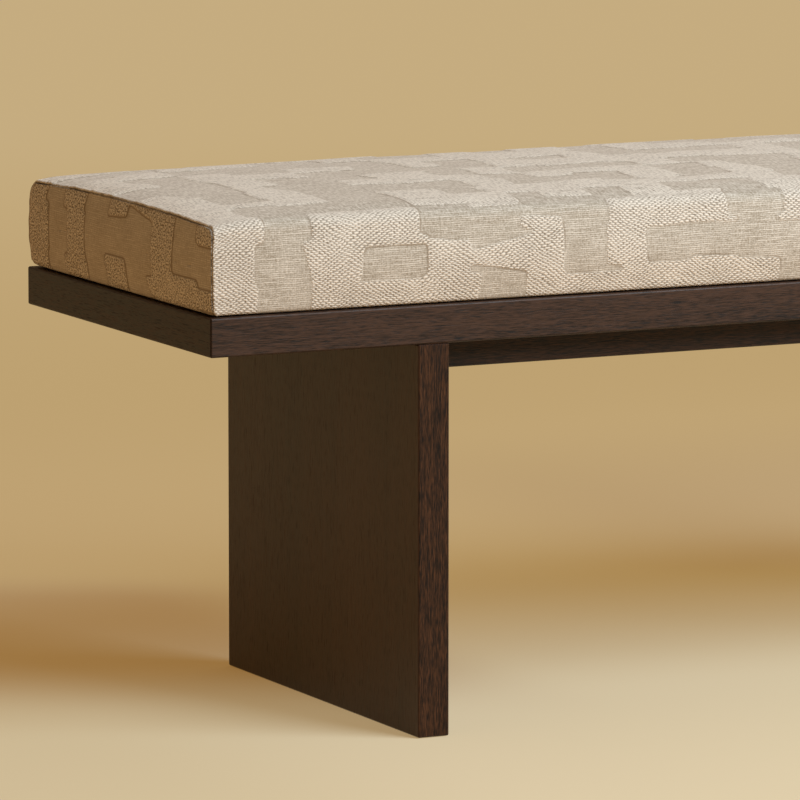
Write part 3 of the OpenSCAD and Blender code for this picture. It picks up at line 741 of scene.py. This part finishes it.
def block_at(uv):
    """Distance from the nearest block's edge at places on the cloth, positive inside a block."""
    place = (uv - [DESIGN_U[0], DESIGN_V[0]]) / CELL
    place = np.clip(place, 0, np.array(edge_distance.shape) - 1.001)
    i, j = np.moveaxis(place.astype(int), -1, 0)
    s, t = np.moveaxis(place % 1, -1, 0)
    near = edge_distance[i, j] * (1 - t) + edge_distance[i, j + 1] * t
    far = edge_distance[i + 1, j] * (1 - t) + edge_distance[i + 1, j + 1] * t
    return near * (1 - s) + far * s


# %% [markdown]
# ## The fine cover
# The fine cover follows the same functions at 3 mm, and closer still beside the
# seams. The solver's moves are laid over it on smooth curves. Each seam is then
# pulled in as a narrow groove, with the turned edge of the end panel standing
# up beside it as a thin lip, and short gathers run off it.

# %% Smooth carrying from coarse to fine
def carry(fine, coarse, ring=False):
    """Weights that carry values from coarse places to fine ones along a Catmull-Rom curve, a row a place."""
    n = len(coarse)
    index = np.interp(fine, coarse, np.arange(n))
    start = np.clip(index.astype(int), 0, n - 1 if ring else n - 2)
    t = index - start
    weights = np.stack([
        -0.5 * t + t ** 2 - 0.5 * t ** 3, 1 - 2.5 * t ** 2 + 1.5 * t ** 3,
        0.5 * t + 2 * t ** 2 - 1.5 * t ** 3, -0.5 * t ** 2 + 0.5 * t ** 3], 1)
    spots = start[:, None] + np.arange(-1, 3)
    spots = spots % (n - 1) if ring else np.clip(spots, 0, n - 1)
    matrix = np.zeros((len(fine), n))
    np.add.at(matrix, (np.arange(len(fine))[:, None], spots), weights)
    return matrix


def loop_length(loop):
    """Length along a closed outline to each of its points, and once more round to the first."""
    closed = np.concatenate([loop[:, :2], loop[:1, :2]])
    return np.concatenate([[0], np.cumsum(np.hypot(*np.diff(closed, axis=0).T))])


# %% The fine grid
FINE_STEPS = (6, 7, 24, 10, 128)
FINE_LOW, fine_rows = sum(FINE_STEPS[:2]), section(*FINE_STEPS)
SEAM_STEPS = np.array([0, 0.4, 0.8, 1.2, 1.6, 2.1, 2.7, 3.4, 4.3, 5.4, 6.8, 8.5, 10.5, 13, 15.8]) / 1000
inner_steps = np.linspace(SEAM_STEPS[-1], HALF_LENGTH, 224)[1:]
runs = np.concatenate([SEAM_STEPS, inner_steps])
fine_stations = np.concatenate([-1 + runs / HALF_LENGTH, (1 - runs / HALF_LENGTH)[-2::-1]])
FACE_WAY = 0.040
fine_shares = np.concatenate([SEAM_STEPS, np.linspace(SEAM_STEPS[-1], FACE_WAY, 9)[1:]]) / FACE_WAY
row_girth = girth(fine_rows)
band_carry = carry(row_girth, girth(coarse_rows) * row_girth[-1] / girth(coarse_rows)[-1])
station_carry = carry(fine_stations, coarse_stations)
band = band_surface(fine_stations, fine_rows)
band += np.einsum("is,jr,src->ijc", station_carry, band_carry, moves[homes[0]])
print("fine band:", band.shape[0] * band.shape[1], "points")


# %% The seams
# A lip is a ridge beside the seam's groove, in mm: its height sideways and outwards, its distance, its width
BAND_LIP, END_LIP = (0, 0.3, 2.6, 1.8), (0.28, 0, 1.3, 0.7)


def waves(place, lengths, seed):
    """A smooth uneven line: sines of some lengths with random starts, from about -1 to 1."""
    starts = np.random.default_rng(seed).uniform(0, 2 * np.pi, len(lengths))
    return sum(np.sin(2 * np.pi * place / l + a) for l, a in zip(lengths, starts)) / len(lengths) ** 0.5


def seam_frame(rows, side):
    """At each row of the section, the seam's inward direction, and the band's outward one."""
    slope = np.gradient(rows[:, [0, 1]], axis=0)
    slope /= np.linalg.norm(slope, axis=1, keepdims=True)
    out = np.stack([0 * slope[:, 0], -slope[:, 1], slope[:, 0]], 1)
    inward = -(out + [side, 0, 0])
    return inward / np.linalg.norm(inward, axis=1, keepdims=True), out


def seam_move(distance, index, side, lip):
    """The seam's pull on a point: groove, rounded edge, lip and fading gathers, summed in mm."""
    inward, out = seam_frame(fine_rows, side)
    along = row_girth[index]
    d = distance[..., None] * 1000
    gather = waves(along, [0.0093, 0.0137, 0.021, 0.034], 5)[..., None]
    wander = waves(along, [0.019, 0.047, 0.11], 6)[..., None]
    move = inward[index] * (np.exp(-(d / 0.8) ** 2) + 0.35 * np.exp(-d / 3))
    move = move + out[index] * 0.28 * gather * np.exp(-d / 7) * (1 - np.exp(-(d / 2) ** 2))
    move = move + (out[index] * 0.35 + [0.25 * side, 0, 0]) * wander * np.exp(-d / 16)
    sideways, outwards, middle, width = lip
    ridge = np.exp(-((d - middle) / width) ** 2)
    return (move + ([sideways * side, 0, 0] + outwards * out[index]) * ridge) / 1000


def outward(grid):
    """The outward direction at each point of a grid, from its neighbours."""
    normal = np.cross(np.gradient(grid, axis=0), np.gradient(grid, axis=1))
    return normal / np.maximum(np.linalg.norm(normal, axis=2, keepdims=True), 1e-12)


BLOCK_RISE, CREASE = 0.0008, 0.00025


def block_rise(distance):
    """The raised blocks stand proud of the ground, with the edge drawn down as a soft crease."""
    d = distance[..., None] * 1000
    return BLOCK_RISE / (1 + np.exp(-d / 0.4)) - CREASE * np.exp(-((d + 1.4) / 1.5) ** 2)


# %% The band's surface
CLOTH_T, UNEVEN = 0.0012, 0.0005
indices = np.broadcast_to(np.arange(len(fine_rows)), band.shape[:2])
station_gap = (1 - abs(fine_stations))[:, None] * (HALF_LENGTH - fine_rows[:, 3])
left, right = fine_stations < 0, fine_stations >= 0
normals = outward(band)
band_u, band_v = band[..., 0].copy(), np.broadcast_to(row_girth, band.shape[:2])
for half, side in ((left, -1), (right, 1)):
    band[half] += seam_move(station_gap[half], indices[half], side, BAND_LIP)
softly = waves(band_u + 0.3 * band_v, [0.31, 0.19, 0.13], 8) * waves(band_v - 0.2 * band_u, [0.27, 0.17], 9)
cloth_free = np.clip(np.minimum(row_girth, row_girth[-1] - row_girth) / 0.06 - 0.7, 0, 1)[None, :, None]
band_uv = np.stack([band_u, band_v], 2)
band_block = block_at(band_uv)
band += normals * (block_rise(band_block) + UNEVEN * softly[..., None]) * cloth_free


def cloth_piece(name, grids, faces, uvs, blocks, seams):
    """A cloth object from welded grids, with its flat pattern as a UV map and two distances as attributes."""
    points, quads, _, first = welded(grids, faces)
    made = mesh_object(name, points, quads, smooth=True)
    mesh = made.data
    corners = np.zeros(len(mesh.loops), int)
    mesh.loops.foreach_get("vertex_index", corners)
    uv = np.concatenate([u.reshape(-1, 2) for u in uvs])[first]
    mesh.uv_layers.new(name="cloth").uv.foreach_set("vector", uv[corners].ravel())
    for label, parts in (("block", blocks), ("seam", seams)):
        values = np.concatenate([p.ravel() for p in parts])[first]
        mesh.attributes.new(label, "FLOAT", "POINT").data.foreach_set("value", values)
    thicken(made, CLOTH_T)
    mesh.update()
    return made


band_faces = [grid_faces(*band.shape[:2])]
cover_band = cloth_piece("seat_cover_band", [band], band_faces, [band_uv], [band_block], [station_gap])


# %% The end panels
# Where an end panel's face and roll lie in the design, and the run over which its blocks rise from the seam
FACE_V, ROLL_V, SEAM_RUN = 0.70, 0.69, 0.006


def end_panel(name, side, face_moves, shift):
    """An end panel: its face, roll and hem, the solver's moves, and the seam's pull."""
    loop, coarse = end_loop(fine_rows, FINE_LOW), end_loop(coarse_rows, COARSE_LOW)
    face, roll = end_face(loop, fine_shares), end_roll(fine_rows, FINE_LOW)
    fine_way, coarse_way = loop_length(loop), loop_length(coarse)
    round_carry = carry(fine_way[:-1], coarse_way * fine_way[-1] / coarse_way[-1], ring=True)[:, :-1]
    ring_moves = np.einsum("is,jr,src->ijc", round_carry, carry(fine_shares, coarse_shares), face_moves)
    seam = fine_rows[FINE_LOW:len(fine_rows) - FINE_LOW]
    flat = face[..., 1:] - [0, DECK_TOP]
    gaps = np.linalg.norm(flat[:, :, None] - seam[None, None, :, :2], axis=3)
    nearest, gap = gaps.argmin(2), gaps.min(2)
    gap[len(seam):] = np.maximum(gap[len(seam):], 1e-4)
    if side < 0:
        face, roll = face * MIRROR, roll * MIRROR
    face = face + ring_moves
    face += seam_move(gap, nearest + FINE_LOW, side, END_LIP)
    front_gap, back_gap = roll[..., 1] - roll[:, -1:, 1], roll[:, :1, 1] - roll[..., 1]
    low = np.broadcast_to(np.arange(FINE_LOW + 1)[:, None], front_gap.shape)
    index = np.where(front_gap < back_gap, low, len(fine_rows) - 1 - low)
    roll_gap = np.minimum(front_gap, back_gap)
    roll = roll + seam_move(roll_gap, index, side, END_LIP)
    face_uv = np.stack([face[..., 1] * side + shift, flat[..., 1] + FACE_V], 2)
    roll_v = np.broadcast_to(row_girth[:FINE_LOW + 1, None] + ROLL_V, low.shape)
    roll_uv = np.stack([roll[..., 1] * side + shift, roll_v], 2)
    blocks = [block_at(face_uv), block_at(roll_uv)]
    face += np.array([side, 0, 0]) * block_rise(blocks[0]) * np.clip(gap / SEAM_RUN, 0, 1)[..., None]
    faces = [grid_faces(*face.shape[:2], flip=side > 0, closed=True),
             grid_faces(*roll.shape[:2], flip=side < 0)]
    return cloth_piece(name, [face, roll], faces, [face_uv, roll_uv], blocks, [gap, roll_gap])


left_end = end_panel("seat_cover_left_end", -1, moves[homes[3]], -0.10)
right_end = end_panel("seat_cover_right_end", 1, moves[homes[1]], 0.25)
print("fine ends:", len(left_end.data.vertices), "points each")

# %% [markdown]
# ## The cloth's finish
# Close up, a raised block is rows of thick floats, each some 5 mm long, laid
# half a step off the row below, so that dark gaps show between them as short
# slanting strokes. Three waves make this: one up the cloth for the rows, and two
# that cross it on a slant. Where one slanting wave is the stronger, the strokes
# lean that way. The ground is a plain weave with pale slubs along it. On the top
# of the seat the floats are painted paler and close over their gaps, which is
# painted light on the lit top, and the nap is stronger there. On the end panels
# the cloth is pulled hard, and its floats break up into pebbles. A block has a
# darker outline here and there, which is painted shade in the crease at its
# border, and the seams have a dark line of painted shade in their grooves.

# %% The cloth's finish
# Pitches of the floats and threads, how far threads stray, and places up the cloth: top and end panels
FLOAT_STEP, FLOAT_ROW, WEFT_PITCH, WARP_PITCH = 0.0056, 0.0038, 0.0019, 0.0021
STRAY, STRAY_TURN = 0.007, 900
TOP_FROM, TOP_TO, ENDS_FROM = (0.106, 0.128), (0.505, 0.53), (0.66, 0.68)


def jacquard():
    """Two weaves and their border: slanting floats in the blocks, a plain ground with slubs."""
    cloth = Finish("jacquard_cloth", roughness=0.85, specular_ior_level=0.2, sheen_weight=0.42,
                   sheen_roughness=0.5, sheen_tint=(1.0, 0.90, 0.80, 1))
    flat = cloth.node("ShaderNodeUVMap", {"uv_map": "cloth"})
    u, v, _ = cloth.parts(flat)
    block = cloth.node("ShaderNodeAttribute", {"attribute_name": "block"}, out="Fac")
    seam = cloth.node("ShaderNodeAttribute", {"attribute_name": "seam"}, out="Fac")

    # Where the cloth is the seat's top, where it is an end panel, and how its threads stray
    top_painted_light_and_nap, on_end = v.ramp(*TOP_FROM) - v.ramp(*TOP_TO), v.ramp(*ENDS_FROM)
    drift = (cloth.noise(flat, 45, 2) - 0.5) * STRAY
    sway = (cloth.noise(cloth.vector(v, u, 4.0), 60, 2) - 0.5) * STRAY
    fuzz, slow = cloth.noise(flat, 520, 1) - 0.5, cloth.noise(flat, 26, 1)
    nap = (cloth.streaks((u, v, 3.0), (480, 130, 1)) - 0.5) * (0.5 + top_painted_light_and_nap * 1.5)

    # The floats, from a wave for the rows and two slanting ones
    row = (v + drift + fuzz * 0.0005) * per_metre(FLOAT_ROW)
    step = (u + sway) * per_metre(FLOAT_STEP)
    lean = slow.ramp(0.40, 0.60) * 0.26
    crossing = (step - row).cos() * (0.62 + lean) + (step + row).cos() * (0.86 - lean)
    crossing = (row * 2).cos() * 0.75 + crossing
    hill = (0.56 + crossing * 0.27 + fuzz * 0.35).clip()
    pebbles = cloth.noise(flat, 600, 1).ramp(0.36, 0.64)
    hill = hill + (pebbles - hill) * on_end * 0.85
    floats, tone = hill.ramp(0.0, 0.85), cloth.noise(flat, 30, 2) - 0.5
    # On the seat's top the floats are painted paler and close over their gaps: painted light on the lit top
    floats = floats + (1 - floats) * top_painted_light_and_nap * 0.44 + nap * 0.9 + fuzz * (0.35 + top_painted_light_and_nap * 0.55) + tone * 0.4
    raised_colour = cloth.mix(floats.clip(), rgba(104, 94, 78), rgba(224, 220, 208))

    # The ground, from fine lines both ways, slubs and grain
    slub = cloth.streaks((u, v, 5.0), (50, 420, 1))
    lines = (v * per_metre(WEFT_PITCH) + drift * STRAY_TURN).cos() * slub.ramp(0.30, 0.7)
    warp = (u * per_metre(WARP_PITCH) + sway * STRAY_TURN).cos() * cloth.streaks((u, v), (300, 40))
    grain = cloth.streaks((u, v, 2.0), (480, 900, 1)) - 0.5
    weft = (lines * 0.45 + warp * 0.08 + grain * 1.4 + (slub - 0.5) * 0.8) * (1 - on_end * 0.4)
    patch = cloth.noise(flat, 24, 3) - 0.5
    plain = (0.42 + weft + patch * 0.4 + nap * 1.1).clip()
    ground_colour = cloth.mix(plain, rgba(143, 135, 119), rgba(212, 209, 198))

    # The blocks' borders with their broken outline of painted crease shade, and the painted shade in the
    # seams' grooves
    inside = (block + fuzz * 0.0022).ramp(-0.0005, 0.0005)
    # Painted shade in the crease along the blocks' borders, here and there and all round on the end panels
    edge = (abs(block + 0.0010) / 0.0017).ramp(1.0, 0.0) * (slow.ramp(0.44, 0.62) + on_end).clip()
    # Painted shade in the seams' grooves, broken into short lengths, wider and darker on the end panels
    painted_seam_shade = (seam / (0.0008 + on_end * 0.0014)).ramp(1.0, 0.35)
    painted_seam_shade = painted_seam_shade * cloth.noise(flat, 300, 1).ramp(0.30, 0.55)
    colour = cloth.mix(inside, ground_colour, raised_colour)
    colour = cloth.mix(edge * (0.5 + on_end * 0.4), colour, rgba(122, 107, 86))
    colour = cloth.mix(painted_seam_shade * (0.3 + on_end * 0.4), colour, rgba(66, 54, 38))
    height = (0.15 + weft * 0.2) * (1 - inside) + (hill + nap * 0.3) * inside - edge * 0.3
    return cloth.finished(colour, height, 0.0005)


jacquard_cloth = jacquard()
print("cloth finish:", len(jacquard_cloth.node_tree.nodes), "nodes")
for piece, node in ((cover_band, "cover_band"), (left_end, "cover_left_end"), (right_end, "cover_right_end")):
    stands_for(piece, node, jacquard_cloth)

# %% [markdown]
# ## Foam and batting
# Under the cloth lies a block of foam, and over the foam a wrap of loose white
# batting that rounds its edges. Both are rings of points: an outline round the
# pad, drawn in by an inset, at heights given by a profile. Where the inset has
# eaten half the depth, the ring has shrunk to a line and the surface is closed.

# %% Rings round the pad
RING_ALONG, RING_ACROSS = np.linspace(-1, 1, 96), np.linspace(-1, 1, 28)
RING_TURN = np.linspace(0, np.pi / 2, 6)[1:-1]
FLAT_DEPTH = HALF_DEPTH - 0.012


def outline(inset, corner):
    """A rounded rectangle at an inset from the pad's own outline, from its front left corner, as x and y."""
    hx, hy = HALF_LENGTH - inset, HALF_DEPTH - inset
    corner = min(corner, hy)
    reach = np.stack([np.sin(RING_TURN), np.cos(RING_TURN)], 1) * corner
    front = np.stack([RING_ALONG * (hx - corner), np.full(len(RING_ALONG), -hy)], 1)
    end = np.stack([np.full(len(RING_ACROSS), hx), RING_ACROSS * (hy - corner)], 1)
    near, far = np.array([hx - corner, corner - hy]), np.array([hx - corner, hy - corner])
    half = np.concatenate([front, near + reach * [1, -1], end, far + reach[::-1]])
    return np.concatenate([half, -half])


def soft_body(name, profile):
    """A closed body from rings. A row of its profile is inset, height, share of the crown, corner, lumps."""
    flats = [outline(inset, corner) for inset, _, _, corner, _ in profile]
    rings = np.stack([np.insert(flat, 2, row[1], axis=1) for flat, row in zip(flats, profile)], axis=1)
    x, y = rings[..., 0], rings[..., 1]
    crown = CROWN_ALONG * (1 - np.exp(-(HALF_LENGTH - abs(x)) / CROWN_RUN))
    crown += CROWN_ACROSS * (1 - np.clip(y / FLAT_DEPTH, -1, 1) ** 2)
    rings[..., 2] += DECK_TOP + crown * profile[:, 2]
    uneven = waves(x + 0.7 * y, [0.083, 0.051, 0.037], 3)
    uneven = uneven * waves(y - 0.4 * x + rings[..., 2], [0.061, 0.043], 4)
    normal = outward(np.concatenate([rings[-1:], rings, rings[:1]]))[1:-1]
    rings += normal * (uneven * profile[:, 4])[..., None]
    points, quads, _, _ = welded([rings], [grid_faces(*rings.shape[:2], closed=True)])
    return mesh_object(name, points, quads, smooth=True)


def rows(insets, heights, crown=0.0, corner=0.003, lumps=0.0):
    """Rows of a profile, from values that may be single numbers."""
    return np.stack(np.broadcast_arrays(insets, heights, crown, corner, lumps), 1)


def round_edge(inset, height, radius, start, stop):
    """Insets and heights along an edge's arc, between two angles in degrees round a centre."""
    turn = np.radians(np.linspace(start, stop, 5))
    return inset - radius * np.cos(turn), height + radius * np.sin(turn)


# %% The foam's profile
MIDDLE = HALF_DEPTH
foam_in, foam_low, foam_high, edge = 0.0098, 0.0141, 0.0681, 0.003
foam_core = soft_body("seat_foam", np.concatenate([
    rows(np.linspace(MIDDLE, foam_in + 2 * edge, 9), foam_low),
    rows(*round_edge(foam_in + edge, foam_low + edge, edge, -90, 0)),
    rows(foam_in, np.linspace(foam_low + 2 * edge, foam_high - 2 * edge, 6), lumps=0.0002),
    rows(*round_edge(foam_in + edge, foam_high - edge, edge, 0, 90)),
    rows(np.linspace(foam_in + 2 * edge, MIDDLE, 10), foam_high),
]))

# %% The batting's profile, up inside it over the foam and back over its shoulder
foam_gap, wrap_gap, shoulder, soft_corner = 0.0003, 0.0026, BACK_R, 0.010
side_heights = np.linspace(foam_low, PAD_H - shoulder, 8)
shoulder_in = float(side_inset(PAD_H - shoulder)) + shoulder
shoulder_arc = round_edge(shoulder_in, PAD_H - shoulder, shoulder - wrap_gap, 0, 90)
batting = soft_body("seat_batting", np.concatenate([
    rows(np.linspace(MIDDLE, foam_in + 0.004, 9), foam_high + foam_gap),
    rows(foam_in - foam_gap, np.linspace(foam_high + foam_gap, foam_low, 7)),
    rows(side_inset(side_heights) + wrap_gap, side_heights, corner=soft_corner, lumps=0.0004),
    rows(*shoulder_arc, np.linspace(0.2, 1, 5), soft_corner, 0.0005),
    rows(np.linspace(0.12, 0.95, 14) * MIDDLE, PAD_H - wrap_gap, 1.0, soft_corner, 0.0008),
    rows([MIDDLE], PAD_H - wrap_gap, 1.0),
]))


# %% The finishes of foam and batting
def foam_finish():
    """Cut foam: cream, with the small round cells that the blade has opened."""
    foam = Finish("cut_foam", roughness=0.9, specular_ior_level=0.2)
    cells = foam.node("ShaderNodeTexVoronoi", values={"Vector": foam.place(), "Scale": 620.0})
    blotch = foam.noise(foam.place(), 30, 3)
    tone = (cells.ramp(0.1, 0.7) + blotch * 0.4 - 0.2).clip()
    return foam.finished(foam.mix(tone, rgba(204, 188, 138), rgba(240, 230, 190)), cells, 0.0004)


def batting_finish():
    """Loose polyester fibre: white, with crossing hairs and soft hollows."""
    wrap = Finish("loose_batting", roughness=0.95, specular_ior_level=0.15, sheen_weight=0.4)
    hairs = abs(wrap.noise(wrap.place(), 210, 4) - 0.5).ramp(0.0, 0.07)
    hollows = wrap.noise(wrap.place(), 26, 2)
    colour = wrap.mix((hairs * 0.5 + hollows).clip(), rgba(206, 203, 195), rgba(243, 241, 236))
    return wrap.finished(colour, hairs * 0.3 + hollows, 0.0012)


stands_for(foam_core, "foam_core", foam_finish())
stands_for(batting, "batting_wrap", batting_finish())

# %% [markdown]
# ## The dust cover
# A thin black cloth is stretched under the seat board and hides the hem's raw
# edge. It has a hole at each of the eight pad bolts. The sheet is made of tiles
# that share their borders. A tile with a hole is a grid of its own kind, whose
# rings turn from the tile's square border into the hole's circle.

# %% The dust cover
# Inset from the pad, the bolts' places, radius of a hole and half width of its tile, and the sheet's lie
COVER_IN, BOLT_X, BOLT_Y, HOLE_R, TILE = 0.0353, (0.580, 0.200), 0.100, 0.0033, 0.016
TILE_STEPS, OPEN_STEP, COVER_T, COVER_UP, COVER_WAVE, DIMPLE = 6, 0.015, 0.0007, 0.0014, 0.0001, 0.0024


def square_to_circle(x0, x1, y0, y1, steps):
    """Rings from a square's border to a circle in its middle, as one closed grid seen from above."""
    t = np.linspace(0, 1, steps, endpoint=False)[:, None]
    corners = np.array([[x0, y0], [x1, y0], [x1, y1], [x0, y1]])
    border = np.concatenate([a + (b - a) * t for a, b in zip(corners, np.roll(corners, -1, axis=0))])
    middle = corners.mean(axis=0)
    away = border - middle
    circle = middle + HOLE_R * away / np.linalg.norm(away, axis=1, keepdims=True)
    share = np.array([0, 0.4, 0.75, 1])[None, :, None]
    return border[:, None] * (1 - share) + circle[:, None] * share


def dust_tiles():
    """The sheet's tiles, as grids of x and y, and whether each is closed round a hole."""
    hx, hy = HALF_LENGTH - COVER_IN, HALF_DEPTH - COVER_IN
    x_cuts = np.sort([-hx, hx, *(s * x + d for s in (-1, 1) for x in BOLT_X for d in (-TILE, TILE))])
    y_cuts = np.sort([-hy, hy, *(s * BOLT_Y + d for s in (-1, 1) for d in (-TILE, TILE))])
    tiles = []
    for i, (x0, x1) in enumerate(zip(x_cuts, x_cuts[1:])):
        for j, (y0, y1) in enumerate(zip(y_cuts, y_cuts[1:])):
            if i % 2 and j % 2:
                tiles.append((square_to_circle(x0, x1, y0, y1, TILE_STEPS), True))
                continue
            nx = TILE_STEPS if i % 2 else int(np.ceil((x1 - x0) / OPEN_STEP))
            ny = TILE_STEPS if j % 2 else int(np.ceil((y1 - y0) / OPEN_STEP))
            grid = np.meshgrid(np.linspace(x0, x1, nx + 1), np.linspace(y0, y1, ny + 1), indexing="ij")
            tiles.append((np.stack(grid, 2), False))
    return tiles


def levelled(tile):
    """A tile at its height above the deck, with a faint wave."""
    wave = waves(tile[..., :1] + tile[..., 1:], [0.09, 0.05], 2)
    return np.concatenate([tile, DECK_TOP + COVER_UP + COVER_WAVE * wave], 2)


tiles = dust_tiles()
faces = [grid_faces(*tile.shape[:2], closed=ring) for tile, ring in tiles]
points, quads, _, _ = welded([levelled(tile) for tile, _ in tiles], faces)
dust_cover = mesh_object("seat_dust_cover", points, quads)
thicken(dust_cover, COVER_T)


# %% The dust cover's finish
def dust_finish():
    """Black spun cloth, pressed with a fine grid of dimples."""
    cloth = Finish("black_spun_cloth", roughness=0.9, specular_ior_level=0.25)
    x, y = ((part * per_metre(DIMPLE)).cos() for part in cloth.parts(cloth.place())[:2])
    dimples, fibre = (x * y).ramp(0.2, 0.8), cloth.noise(cloth.place(), 800, 3)
    colour = cloth.mix((fibre - dimples * 0.5).clip(), rgba(20, 19, 18), rgba(56, 54, 52))
    return cloth.finished(colour, fibre * 0.5 - dimples, 0.0002)


stands_for(dust_cover, "dust_cover", dust_finish())
